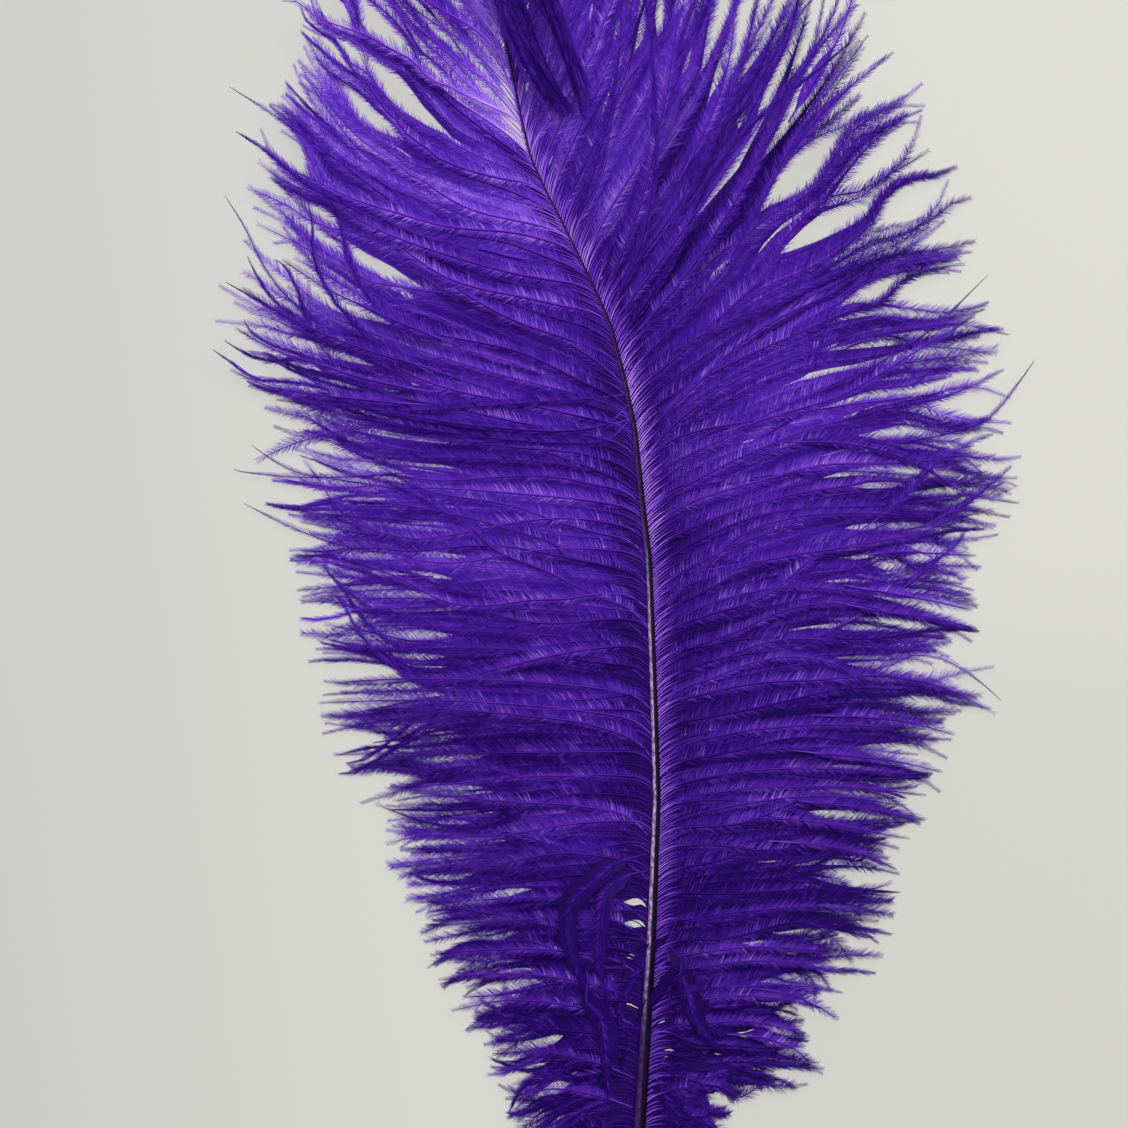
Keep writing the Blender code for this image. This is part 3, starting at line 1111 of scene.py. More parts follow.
        reach = SHARES * trim[:, None]
        held = np.where(
            tight, dice.uniform(*self.tight_grip, count), dice.uniform(*self.open_grip, strands)[strand])
        held = held * np.where(loose, 0.0, 1.0 - 0.4 * upper)
        gather = dice.uniform(*self.gather_from, strands)[strand] - 0.06 * upper
        pull = held[:, None] * smooth_step((reach - gather[:, None]) / self.gather_ease, 0.0, 1.0)
        plan = plan + (cut(strand_plan, strand, trim) - plan) * pull[..., None]
        held = dice.uniform(*self.lock_grip, strands)[strand] * np.where(loose, self.loose_grip, 1.0)
        pull = (held + 0.12 * downy)[:, None] * smooth_step(reach, *self.lock_span)
        plan = plan + (cut(lock_plan, lock, trim) - plan) * pull[..., None]
        plan = plan + shifts[lock][:, None, :] * (reach ** 2)[..., None]
        plan = self.gaps.part(plan)

        level = self._levels(tier, spread(dice, 0.25, strands)[strand])
        heights = self._heights(roots, length, reach, level, spread(dice, 0.5, len(lock_roots))[lock])
        places = np.concatenate([plan, heights[..., None]], axis=-1)
        shut = np.where(
            tight, dice.uniform(*self.tight_shut, strands)[strand], dice.uniform(*self.open_shut, count))
        closed = self._closing(shut, upper, dice.random(count) < 0.04 + 0.30 * downy)
        thin_from = np.where(top, *self.thin_from) - 0.10 * upper
        thinning = smooth_step((SHARES - thin_from[:, None]) / self.thin_ease, 0.0, 1.0)
        breadth, edge_breadth, girth = (
            graded(tier, name)[:, None] for name in ("breadth", "edge_breadth", "girth"))
        growth = smooth_step(SHARES * length[:, None], *self.girth_out)
        girth = self.root_girth + (girth - self.root_girth) * growth
        pale = self._pale(roots)
        paling = 1.0 - smooth_step(reach * length[:, None], *self.pale_out)
        tones = self._tones(places, level, closed, strand, strands, loose)
        return Barbs(
            places=places,
            tiers=tier,
            lengths=length * trim,
            tones=tones + self.pale_tone * (pale > 0.0)[:, None] * paling,
            rolls=self._rolls(count, 1.0 + downy),
            fringe=self._fringe(length * trim, loose, upper, pale),
            closed=closed,
            breadth=breadth + (edge_breadth - breadth) * thinning,
            girth=girth * (1.0 - self.taper * SHARES),
            streaks=np.where(top, 1.0, 0.6),
            webs=graded(tier, "web") * (1.0 - 0.25 * upper),
            combs=np.where(pale > 0.0, 2.0 * pale, self.comb_reach),
            narrows=np.where(pale > 0.0, 0.10, 0.75 + 0.15 * downy),
            web_ends=dice.uniform(*self.web_ends, count) - 0.10 * upper,
            cores=np.where(tight, self.core - 0.15 * upper, 0.0),
        )

    def _pale(self, roots: Array) -> Array:
        """Find the pale, almost bare combs beside the shaft.

        Args:
            roots: The barbs' roots.

        Returns:
            How far out each barb's comb reaches in millimetres, or 0.
        """
        reach = np.zeros(len(roots))
        for low, high, distance in self.pale_combs:
            reach = np.where((roots > low) & (roots < high), distance, reach)
        return reach

    def _roots(self) -> Array:
        """Space the barbs, closer together below than near the tip.

        Returns:
            The places where they leave the shaft.
        """
        roots = [self.root_from]
        while roots[-1] < self.root_to:
            wide = float(smooth_step(np.array(roots[-1]), *WIDE_ROOTS))
            gap = self.barb_gap + (self.tip_gap - self.barb_gap) * wide
            roots.append(roots[-1] + gap * self.dice.uniform(0.8, 1.2))
        return np.array(roots[:-1])

    def _tiers(self, roots: Array) -> Array:
        """Deal the barbs into tiers.

        Args:
            roots: The barbs' roots.

        Returns:
            Each barb's tier: 0 on top, 1 in the middle and 2 underneath.
        """
        tier = np.full(len(roots), 2)
        for value, gap in ((1, self.middle_gap), (0, self.top_gap)):
            place = self.root_from + 2.0
            while place < self.root_to:
                tier[np.argmin(np.abs(roots - place))] = value
                place += self.dice.uniform(*gap)
        return tier

    def _strands(self, roots: Array) -> tuple[Array, Array]:
        """Gather neighbouring barbs into strands.

        Args:
            roots: The barbs' roots.

        Returns:
            Each barb's strand, and the strands' middle roots.
        """
        edges = [self.root_from]
        while edges[-1] < self.root_to:
            edges.append(edges[-1] + self.dice.uniform(*self.strand_gap))
        edges = np.array(edges)
        return np.searchsorted(edges[1:], roots), (edges[1:] + edges[:-1]) / 2

    def _locks(self, roots: Array) -> tuple[Array, Array, Array]:
        """Part the barbs into locks that reach the plume's tips.

        Args:
            roots: The barbs' roots.

        Returns:
            Each barb's lock, the root y of each lock's middle, and how far each lock's point is moved.
        """
        trial = np.arange(self.root_from, self.root_to, self.trial_gap)
        still = np.zeros(len(trial))
        length, *turns = self.courses.at(trial)
        ends = self._plan(trial, length, turns, still, still)[:, -1]
        found = []
        for tip in self.tips:
            misses = np.array(tip) - ends
            best = int(np.argmin(np.linalg.norm(misses, axis=1)))
            found.append((trial[best], *misses[best]))
        found.sort()
        kept = [(self.root_from, 0.0, 0.0)]
        for row in [*found, (self.root_to, 0.0, 0.0)]:
            while row[0] - kept[-1][0] > self.lock_gap[1]:
                kept.append((kept[-1][0] + self.dice.uniform(*self.lock_gap), 0.0, 0.0))
            if row[0] - kept[-1][0] > self.least_lock:
                kept.append(row)
        table = np.array(kept)
        edges = (table[1:, 0] + table[:-1, 0]) / 2
        shifts = table[:, 1:]
        reach = np.linalg.norm(shifts, axis=1, keepdims=True)
        shifts = shifts * np.minimum(1.0, self.longest_shift / np.maximum(reach, 1e-6))
        return np.searchsorted(edges, roots), table[:, 0], shifts

    def _wandering(self, roots: Array, wildness: Array, waves: Array, curls: Array) -> Array:
        """Courses that stray from the vane's own, (courses, stations, 2).

        Args:
            roots: Where the courses start.
            wildness: How far each strays, 1 being an ordinary barb.
            waves: The size of each one's waves in degrees.
            curls: The size of the turn at each point in degrees.

        Returns:
            The courses.
        """
        count = len(roots)
        length, *turns = self.courses.at(roots)
        strayed = [
            turn + spread(self.dice, size, count) * wildness for turn, size in zip(turns, self.stray)]
        waves = spread(self.dice, 1.0, count) * waves
        curls = spread(self.dice, 1.0, count) * curls
        return self._plan(roots, length, strayed, waves, curls)

    def _plan(self, roots: Array, length: Array, turns: list[Array], waves: Array, curls: Array) -> Array:
        """Lay out courses with waves and end curls.

        Args:
            roots: Where they start.
            length: Their lengths.
            turns: Their four headings in degrees.
            waves: Their waves in degrees.
            curls: The turns at their points in degrees.

        Returns:
            The courses seen from above, (courses, stations, 2).
        """
        middles = (SHARES[1:] + SHARES[:-1]) / 2
        heading = self.courses.headings(length, turns, middles)
        phase = self.dice.uniform(0.0, 2 * math.pi, len(roots))[:, None]
        pace = self.dice.uniform(*self.wave_pace, len(roots))[:, None]
        ripple = np.sin(2 * math.pi * pace * middles + phase)
        ripple = ripple * smooth_step(middles, *self.wave_span)
        heading = heading + curls[:, None] * smooth_step(middles, *self.curl_span)
        heading = np.radians(heading + waves[:, None] * ripple)
        steps = np.diff(SHARES) * length[:, None]
        moves = np.stack([self.side.value * np.cos(heading) * steps, np.sin(heading) * steps], axis=-1)
        starts = self.shaft.middle(roots)[:, None, :2]
        return np.concatenate([starts, starts + np.cumsum(moves, axis=1)], axis=1)

    def _levels(self, tier: Array, jitter: Array) -> Array:
        """Stack the barbs; neighbours on top take unlike places, so they can cross.

        Args:
            tier: Each barb's tier.
            jitter: Added to all but the top barbs' places.

        Returns:
            Each barb's place in the pile.
        """
        low, high = graded(tier, "level").T
        turn = np.where(
            tier == 0, np.cumsum(tier == 0) * self.level_turn % 1.0, self.dice.random(len(tier)))
        return low + (high - low) * turn + jitter * (tier > 0)

    def vault(self, start: Array, y: Array, reach: Array, distance: Array,
              lift: Array | float = 0.0) -> Array:
        """The heights of the vane's arch over the table.

        Args:
            start: The height where it leaves the shaft.
            y: The places along the plume, on which the height of its edge depends.
            reach: The shares of the way out to its edge.
            distance: The distances from the shaft.
            lift: How much higher the arch rises than arch says.

        Returns:
            The heights.
        """
        end = self.point_height + np.maximum(0.0, y - self.lift_starts) * self.point_lift
        bow = np.sin(np.pi * reach ** self.bow_power) * smooth_step(distance, *self.bow_rise)
        return start + (end - start) * reach ** self.slope_power + (self.arch + lift) * self.bow_share * bow

    def _heights(self, roots: Array, length: Array, reach: Array, level: Array, lift: Array) -> Array:
        """Raise the barbs over the table.

        Args:
            roots: The barbs' roots.
            length: Their lengths.
            reach: Their stations' shares of their lengths.
            level: Their places in the pile.
            lift: How much higher their arch rises.

        Returns:
            Their heights, (barbs, stations).
        """
        distance = reach * length[:, None]
        start = self.shaft.middle(roots)[:, 2:]
        height = self.vault(start, roots[:, None], reach, distance, lift[:, None])
        rising = smooth_step(distance, *self.level_rise)
        spreading = rising * (1.0 - self.level_fall * smooth_step(reach, 0.5, 1.0))
        return np.maximum(height + level[:, None] * self.pile * spreading, self.least_height)

    def _tones(self, places: Array, level: Array, closed: Array, strand: Array,
               strands: int, loose: Array) -> Array:
        """Dye the barbs.

        Args:
            places: Their places, (barbs, stations, 3).
            level: Their places in the pile.
            closed: How closely their barbules lie, (barbs, stations).
            strand: Each one's strand.
            strands: The number of strands.
            loose: Which of them lie loose.

        Returns:
            The dye's tone, (barbs, stations).
        """
        dice = self.dice
        count = len(level)
        by_barb, by_strand, by_upper = self.tone_spreads
        tone = self.tone + spread(dice, by_barb, count) + spread(dice, by_strand, strands)[strand]
        # Painted shade: barbs lower in the pile are darker.
        tone = tone + self.depth_shade * level
        x, y = places[..., 0], places[..., 1]
        drift = 0.05 * np.sin(x / 17.0 + y / 29.0 + self.seed) + 0.04 * np.sin(y / 13.0 - x / 37.0)
        drift = drift + self.low_tone * smooth_step(-y, *self.low_span)
        drift = drift + self.base_tone * smooth_step(-y, *self.base_span)
        drift = drift + self.edge_tone * smooth_step(SHARES, *self.edge_span) + self.closed_tone * closed
        upper = smooth_step(places[:, 0, 1], *UPPER_TONES)
        drift = drift + self.upper_tone * upper[:, None]
        from_shaft = np.abs(x - self.shaft.at(y)[0])
        near = self.near_tone * (1.0 - 1.5 * upper)[:, None]
        drift = drift + near * (1.0 - smooth_step(from_shaft, *self.near_out))
        drift = drift + self.glow_tone * upper[:, None] * (1.0 - smooth_step(from_shaft, *self.glow_out))
        drift = drift + (spread(dice, by_upper, count) * upper)[:, None]
        charred_share = self.charred_share - self.charred_less * smooth_step(
            -places[:, 0, 1], *self.stray_span)
        charred = dice.random(count) < charred_share
        turning = np.where(charred, dice.uniform(*self.charred_from, count), NEVER)
        turning = np.where(loose, turning - 0.03, turning)[:, None]
        tone = np.maximum(tone[:, None] + drift, self.least_tone)
        return tone * (1.0 - CHAR_DEPTH * smooth_step(SHARES, turning, turning + 0.10))

    def _rolls(self, count: int, wildness: Array) -> Array:
        """Roll the barbs about their own course.

        Args:
            count: The number of barbs.
            wildness: How far each one's point rolls, 1 being an ordinary barb.

        Returns:
            The roll in radians, (barbs, stations).
        """
        start = spread(self.dice, 6.0, count)
        end = start + spread(self.dice, 16.0, count) * wildness
        return np.radians(start[:, None] + (end - start)[:, None] * SHARES)

    def _fringe(self, length: Array, loose: Array, upper: Array, pale: Array) -> Array:
        """Measure out the barbules along the barbs.

        Args:
            length: The barbs' lengths.
            loose: Which of them lie loose.
            upper: How far each grows in the upper part, 0 to 1.
            pale: How far out each one's pale comb reaches, or 0.

        Returns:
            The barbules' share of the full length, (barbs, stations).
        """
        dice, count = self.dice, len(length)
        distance = SHARES * length[:, None]
        soft = smooth_step(upper, 0.0, 0.6)
        first = dice.uniform(3.0, 5.5, count) * (1.0 - 0.60 * soft)
        first = np.where(pale > 0.0, 1.2, first)[:, None]
        full = dice.uniform(9.0, 12.0, count) * (1.0 - 0.40 * soft)
        full = np.where(pale > 0.0, 0.5 * pale, full)[:, None]
        growing = 0.06 + 0.94 * smooth_step((distance - first) / (full - first), 0.0, 1.0)
        thin_from = dice.uniform(0.45, 0.75, count)[:, None]
        bare_from = np.where(loose, 0.86, dice.uniform(0.86, 0.94, count))[:, None]
        thinning = 1.0 - 0.20 * smooth_step(SHARES, thin_from, 1.0)
        thinning = thinning * (1.0 - 0.65 * smooth_step(SHARES, bare_from, bare_from + 0.12))
        return growing * thinning * (1.0 - 0.22 * upper)[:, None]

    def _closing(self, shut: Array, upper: Array, all_along: Array) -> Array:
        """Close the barbules, more so in the outer half.

        Args:
            shut: How far each barb's close.
            upper: How far each grows in the upper part, 0 to 1.
            all_along: Which barbs are closed from root to point.

        Returns:
            How closely they lie against the ramus, (barbs, stations).
        """
        start = (self.dice.uniform(*self.shut_from, len(shut)) - 0.10 * upper)[:, None]
        outer = shut[:, None] * smooth_step((SHARES - start) / self.shut_ease, 0.0, 1.0)
        outer = outer + 0.14 * smooth_step(SHARES, 0.80, 1.0) + 0.08 * upper[:, None]
        return np.clip(np.where(all_along[:, None], self.shut_all_along, outer), 0.0, 1.0)


def through(row: tuple, dimensions: int) -> Array:
    """A smooth course through points.

    Args:
        row: The points' coordinates, one after the other.
        dimensions: How many of them make a point.

    Returns:
        The course's places at a barb's stations, (stations, dimensions).
    """
    points = np.array(row, float).reshape(-1, dimensions)
    first = 2 * points[0] - points[1]
    last = 2 * points[-1] - points[-2]
    knots = np.vstack([first, points, last])
    steps = np.linalg.norm(np.diff(points, axis=0), axis=1)
    reached = np.concatenate([[0.0], np.cumsum(steps)]) / steps.sum()
    at = np.interp(SHARES, reached, np.arange(len(points)))
    low = np.minimum(at.astype(int), len(points) - 2)
    t = (at - low)[:, None]
    a, b, c, d = (knots[low + shift] for shift in range(4))
    square, cube = 2 * a - 5 * b + 4 * c - d, 3 * b - a - 3 * c + d
    return 0.5 * (2 * b + (c - a) * t + square * t ** 2 + cube * t ** 3)


@dataclass(frozen=True)
class Style:
    """How a single strand looks.

    tone, closed and fringe are as in Barbs. bare is the share of its length where its barbules end, web
    the half width of its down and web_end the share where that ends, girth the ramus's half width, and
    lift how far it lies above the vane, in millimetres.
    """

    tone: float
    closed: float
    fringe: float
    bare: float
    web: float
    web_end: float
    girth: float
    lift: float


class Kind(Enum):
    """The kinds of single strands."""

    FROND = Style(0.56, 0.0, 1.0, 0.95, 1.8, 0.62, 0.40, 1.2)
    RIBBON = Style(0.43, 0.62, 0.95, 0.97, 1.6, 0.90, 0.36, 1.2)
    STROKE = Style(0.42, 0.52, 0.95, 0.93, 0.9, 0.90, 0.24, 0.9)
    SPRAY = Style(0.47, 0.20, 1.0, 0.96, 1.2, 0.80, 0.22, 0.9)
    CURL = Style(0.31, 0.50, 1.0, 0.98, 4.6, 0.97, 0.30, 2.4)
    HAIR = Style(0.48, 0.25, 0.62, 0.86, 0.15, 0.30, 0.24, 0.0)


FROND, RIBBON, STROKE, SPRAY, CURL, HAIR = Kind
# Each row is a strand's kind, and the x and y of the points that it runs through.
STRANDS = (
    (FROND, 6.2, -16, 1.2, -11, -4.6, -8.6, -13.1, -4.8, -19.7, -1.4, -28.6, 1.9, -32.6, 4.3, -36.6, 8.6,
     -39.6, 10.7, -44.4, 13, -48.7, 15.8, -54.2, 18.2, -59.3, 20.9),
    (FROND, 6.4, -11.5, 0, -7.4, -8.6, -7.4, -13.9, -8.3, -23, -8.6, -30.4, -9.7, -36.6, -9.9, -42.1, -9.4,
     -47.6, -7, -51.4, -4.8, -59, -1.4, -68, 1),
    (FROND, 5.9, -6.5, 2.4, -1.9, -6.5, 1.4, -13.9, 3.4, -21.1, 6.2, -28.6, 8.4, -35.9, 10.6, -44.6, 12.5,
     -54.2, 14.2, -66, 15),
    (FROND, 5, 2, 0.1, 5.9, -6.5, 7.4, -13.9, 9.4, -21.1, 11.8, -26.6, 13.7, -33.6, 15.1, -41.4, 16.2,
     -48.7, 18, -60, 24),
    (FROND, 4, 14, 0, 17.5, -8.4, 19.2, -13.9, 20.4, -21.1, 21.1, -28.6, 20.9, -37.7, 20.2, -46, 20,
     -58, 21.5),
    (RIBBON, 1, 39, -5, 33.4, -15.8, 31.7, -27.8, 32.2, -39.8, 33.4, -54.2, 35.8, -63.8, 37.8, -74, 41.5),
    (RIBBON, 1.6, 35.5, -5, 29.6, -16, 28.9, -28, 29.6, -40, 31, -54, 33, -66, 35.2),
    (FROND, 6.8, -13.5, 8.8, -7.3, 19.2, -3.6, 30.2, 0, 39.4, 2.4, 52.3, 3.7, 65.8, 4.8),
    (FROND, 7, -16, 12, -8, 18.5, -1.4, 25.8, 5.9, 33.8, 9.6, 44.9, 11.8, 59.5, 12.1, 70, 11),
    (FROND, 4.2, 9, 8.2, 15.1, 15.5, 19.4, 24, 23.9, 33.8, 28.3, 45, 32.6, 58, 35.6),
    (FROND, 3.6, 16, 8.2, 22.4, 17.3, 27.2, 24.7, 30.6, 38, 38, 52, 43),
    (FROND, 7, -20, 11, -14.4, 19.2, -9.8, 30.2, -6.6, 39.4, -5.5, 52, -6.4, 64, -9),
    (FROND, 7.2, -28, 12.6, -21.4, 26.5, -16.1, 35.8, -11.8, 44.9, -9.6, 55.9, -9.8, 67, -13),
    (FROND, 7.4, -34, 11.4, -27.1, 22.8, -22.4, 33.8, -18.7, 43, -17.8, 54, -19.5),
    (FROND, 7.6, -38, 12, -31, 21, -27.1, 30.2, -23.5, 39.4, -22.1, 48.6, -23.5, 54, -27),
    (CURL, 5, -70, -2, -71.5, -7.3, -75.8, -12.5, -80.2, -13.6, -84.5, -13.2, -90, -11.5, -96.5,
     -8.2, -102.5, -4.3, -107.5),
    (CURL, 5.2, -74, 0, -75, -5, -78.5, -6.2, -84.5, -6.6, -92.9, -6, -98.2, -4.8, -105.4),
    (CURL, 12, -86, 9.4, -92.2, 5.5, -95.6, 1.3, -101.5, -1.3, -106.7, -0.8, -110.9, 2.6, -113.5),
    (CURL, 9, -90, 13.7, -96.4, 10.7, -102.4, 6.5, -108.4, 2.2, -114.4, -1.3, -120.4),
    (CURL, -9, -98, -9.6, -104, -6.5, -108.4, -5.5, -114.4, -4.9, -122.1, -4.3, -128),
    (CURL, 9, -92, 13.7, -100.7, 15.8, -108, 19.7, -113.5, 24, -116.5),
    (CURL, 5, -119, 6.9, -123, 9.5, -128.5, 12.9, -132, 18.9, -131.5),
    (STROKE, -48, 42, -57, 46.5, -64.6, 50.2, -71.5, 52.6, -78, 57.8, -84.2, 62.9, -88.1, 68.6,
     -90.5, 73.4),
    (STROKE, -46, 45.5, -55, 49.5, -61.2, 53.3, -66.5, 59, -71.5, 65.5, -74.6, 73.7, -74.6, 80.2,
     -75.5, 85),
    (STROKE, -58, 49, -68, 52, -75.4, 57.1, -78.5, 65.5, -81.1, 70.6, -83.8, 72.5),
    (STROKE, -45, 44.5, -57.4, 51.4, -63.8, 54.5, -74.2, 55.2, -81.1, 59, -90, 64.1, -95.8, 67.4),
    (STROKE, -50, 39, -60, 41.5, -68.9, 44.4, -76.6, 49.4, -84.2, 52.1, -89.5, 55.2, -91.5, 58.5),
    (STROKE, -50, 35, -61.2, 36.7, -71.5, 41.8, -81.1, 43.7, -88.8, 44.4, -94.6, 48.2, -99.1, 51.4),
    (STROKE, -54, 43, -66.5, 46.8, -76.6, 48.7, -85.7, 48.7, -91.4, 50.6, -96.2, 53.5),
    (STROKE, -50, 52.5, -58, 59.5, -63.8, 67.4, -66.5, 73.7, -67.7, 80.2, -70, 86),
    (FROND, 20, 30.5, 37, 35.8, 49.7, 39.6, 59.3, 44.6, 72.7, 53, 78.5, 56.2, 84, 60.5),
    (SPRAY, 50, 33.5, 58.5, 36.2, 67.7, 38.2, 76.6, 40.1, 84.2, 43.4, 90.7, 46.6),
    (SPRAY, 37, 29.3, 53, 28.6, 63.8, 26.2, 72.7, 22.3, 81.8, 17, 94.6, 14.6),
    (SPRAY, 56, 8, 65, 14.6, 72.7, 22.8, 81.8, 28.6, 88.1, 31.2),
    (SPRAY, 68, 8, 75.5, 11, 81.8, 14.6, 86.9, 18.5, 92.6, 23.5),
    (FROND, 18, -1.5, 37, 1.7, 53, 4.3, 68.9, 7, 78, 10.8, 86, 12.5),
    (SPRAY, 62, -8, 68, -4.5, 72.7, -0.7, 78, 3.6, 81.8, 8.2),
    (SPRAY, 48, 62, 57, 67.5, 66, 71.5, 74, 73.5, 82.6, 74.6),
    (SPRAY, 46.6, 50.5, 56.6, 53.9, 70, 56.4, 77, 57.3, 84, 57, 91.7, 55),
    (STROKE, -58, 81, -69, 86, -77, 90.5, -85, 97.5, -92.6, 102.5),
    (FROND, 7.3, -48, 2, -42.5, -10, -38, -30, -35.6, -50, -34.4, -62, -35.2),
    (FROND, 5.8, -66, 0, -60.5, -12, -57.6, -30, -56.6, -46, -55.4, -56, -57),
    (SPRAY, 5.3, -76, -2, -71, -16, -68.6, -36, -68.2, -54, -68.4),
    (SPRAY, 5, -86, -3, -80.8, -16, -79.6, -32, -80.2, -50, -81.4),
    (FROND, 5, -91, -3, -85.5, -16, -84.4, -32, -85.4, -48, -87),
    (FROND, 4.6, -100, -4, -94.5, -18, -92, -34, -92.4, -47, -94),
    (FROND, 2, -124, -8, -118.8, -20, -116.4, -32, -117.6),
    (SPRAY, 3.5, 16, -6, 21.8, -20, 24.2, -40, 25.2, -62, 25.6),
    (SPRAY, 7, -20, -2, -13, -20, -11, -44, -10.2, -66, -11.4),
    (SPRAY, 7.2, -30, -2, -23.5, -20, -21, -40, -20, -62, -21),
    (SPRAY, 0.5, 41, -10, 39.5, -30, 38, -52, 36.6, -70, 38, -84, 39.4),
    (SPRAY, -46, 10, -60, 11, -70, 11.8, -80, 13),
    (SPRAY, -46, -3, -58, -4.2, -68, -5.2, -79, -6.4),
    (RIBBON, -2.5, 53, 6, 64, 13, 76, 19, 90, 30, 104, 44, 116, 53, 123.5),
    (RIBBON, -4.5, 60, 2, 72, 5.5, 86, 6.5, 102, 5.5, 118, 3.5, 134),
    (SPRAY, -7, 65, -1, 78, 4, 92, 9, 106, 14, 120, 17, 136),
    (SPRAY, -3, 56, 6, 70, 14, 86, 21, 102, 27, 118, 31, 136),
    (SPRAY, -1, 50, 10, 62, 20, 76, 29, 92, 38, 108, 44, 122, 47, 136),
    (SPRAY, 0, 46, 12, 57, 23, 70, 31, 84, 39, 99, 48, 113, 57, 125),
    (SPRAY, -13, 78, -8, 92, -4, 106, -2, 120, -1.5, 136),
    (RIBBON, 14, 84, 25, 99, 33, 114, 38, 124, 41, 136),
    (SPRAY, 1, 42, 12, 51, 26, 58.4, 40, 64.6, 54, 71),
    (FROND, 3, 25, 14, 31, 30, 34.2, 44, 36.6, 58, 38.6, 76, 40.8),
    (FROND, 54, 2, 64, 2.8, 74, 2.6, 84, 2),
    (FROND, 52, -5, 62, -6.8, 72, -8.6, 83, -11),
    (SPRAY, 7.2, -54, 14, -48, 30, -44.8, 50, -43.8, 70, -45.8),
    (FROND, 7, -62, 14, -56.6, 30, -53.4, 50, -53.2, 60, -54, 72, -55.6),
    (FROND, 5, -104, 12, -98, 28, -94.8, 42, -95.6, 53, -98.6),
    (FROND, 3.6, -116, 12, -111, 26, -109, 38, -111, 44, -113.6),
    (FROND, 7.4, -50, 14, -43.5, 30, -39.6, 50, -38.4, 69, -39.6),
    (FROND, 6.8, -68, 13, -61.5, 28, -57.2, 48, -55.4, 67, -58),
    (SPRAY, 5.8, -92, 12, -86, 28, -83, 46, -82, 62, -84),
    (SPRAY, 5, -108, 12, -103, 28, -100.8, 42, -101, 52, -103),
    (FROND, -40, 52, -52, 56.6, -62, 61, -72, 66, -82, 72.5),
    (FROND, -44, 46, -58, 49.8, -70, 54, -82, 59.6, -92, 66.2),
    (FROND, -46, 41, -60, 43.6, -72, 47.2, -84, 51.2, -93.5, 56.4),
    (FROND, -48, 38, -62, 39.2, -76, 40.8, -86, 42.8, -95, 46.6),
    (SPRAY, 7.4, -40, 0, -34, -18, -31.4, -40, -30.4, -60, -30.6, -73, -31.6),
    (FROND, 7.2, -58, 14, -52.4, 30, -49.2, 46, -48.8, 60, -49.6, 73, -51),
    (FROND, 6.8, -70, 14, -64.6, 26, -61, 38, -60.8, 52, -62.8, 68, -66),
    (SPRAY, 4.6, 13, 14, 18, 30, 20.6, 46, 22.2, 58, 22, 73, 20.8),
    (SPRAY, 1, 35, -10, 31.5, -26, 29.4, -42, 29.2, -58, 31.2),
    (FROND, 7.3, -36, 0, -31, -18, -28.4, -38, -27.4, -56, -27.6, -70, -28.6),
    (FROND, 7.4, -42, 0, -37, -18, -34.2, -38, -32.8, -56, -32.6, -74, -33.4),
    (FROND, 4, -106, -6, -101, -18, -98.4, -32, -98, -45, -100),
    (FROND, 3.4, -112, -6, -107, -18, -104.6, -30, -104.4, -42, -107.4),
    (FROND, 1.6, -131, -8, -126.6, -18, -125.2, -28, -128),
    (FROND, 4, -110, 12, -105.4, 26, -103, 38, -104, 47, -106.6),
    (FROND, -3.8, 57.5, 5, 68, 14, 80, 22, 91, 30, 102, 38, 116),
    (FROND, 38, 104, 46, 117, 51, 127, 54, 137),
    (SPRAY, 30, 100, 39, 113, 46, 124, 51, 136),
    (FROND, 12, 90, 20, 106, 24, 120, 25.5, 137),
    (SPRAY, 34, 90, 44, 104, 54, 114, 63, 121),
    (FROND, 1, 54, 12, 66, 22, 80, 29, 92, 34, 104, 40, 118),
    (FROND, 5, -100, 12, -94.5, 26, -91.6, 38, -91.6, 50, -93),
    (FROND, 50, -9, 62, -11.5, 74, -13, 84, -15.5),
    (FROND, 44, -36, 56, -36.6, 68, -38, 79, -41),
    (FROND, 40, -44.5, 54, -46, 66, -47.5, 76, -50),
    (FROND, 38, -56, 50, -57.5, 61, -59, 71, -62),
    (FROND, 34, -66, 46, -67, 57, -69.5, 65, -73.5),
    (FROND, 30, -101, 38, -102.5, 46, -106, 51, -109.5),
    (FROND, 24, -112, 32, -113, 40, -116, 44, -119.5),
    (FROND, -6, 64, 1.5, 80, 6, 96, 9, 110, 11, 124, 12, 137),
    (HAIR, -66, 54, -74, 58, -81.6, 64.4, -87, 71.8, -91.2, 80.4, -96, 88.1),
    (HAIR, -56, 86, -68, 95, -75.8, 100.6, -84.2, 106.6, -94.3, 113.3),
    (HAIR, 60, 28, 71, 30, 81.8, 32.6, 88.1, 35.8, 94.6, 43.6, 98.6, 49.2),
    (HAIR, 28, 28, 42, 36, 56.2, 45.4, 65.8, 51.4, 74.2, 57.1, 86.9, 69.4),
    (HAIR, -52, 2, -66, 4, -75.8, 7, -84.2, 10.6, -92.2, 14.6),
    (HAIR, -46, 18, -60, 19, -71, 20.6, -78.2, 21.8, -84.2, 24.5, -90.2, 28.6),
    (HAIR, -50, 22, -66, 21, -78.2, 20.9, -91.4, 22.1, -94.6, 22.8),
    (HAIR, 40, -27, 52, -26.5, 63.4, -24.2, 69.4, -21.8, 77.8, -23.5, 86.2, -29, 90.5, -32.9),
)
# Each row is the x, y and height of the points that a lock runs through.
LOOSE_LOCKS = (
    (-39, 156, 28.4, -43, 165, 30, -47, 174, 28.5, -50.5, 182, 24.5, -53, 188, 19.5),
    (-35.4, 143, 25.4, -31, 135.5, 26.5, -26, 124.5, 22.8, -20.5, 114, 18.6, -14, 105, 15),
    (-36.2, 150, 27.2, -28.5, 146, 30, -20.5, 133, 26.5, -14, 119, 21.5, -9, 104, 16),
)


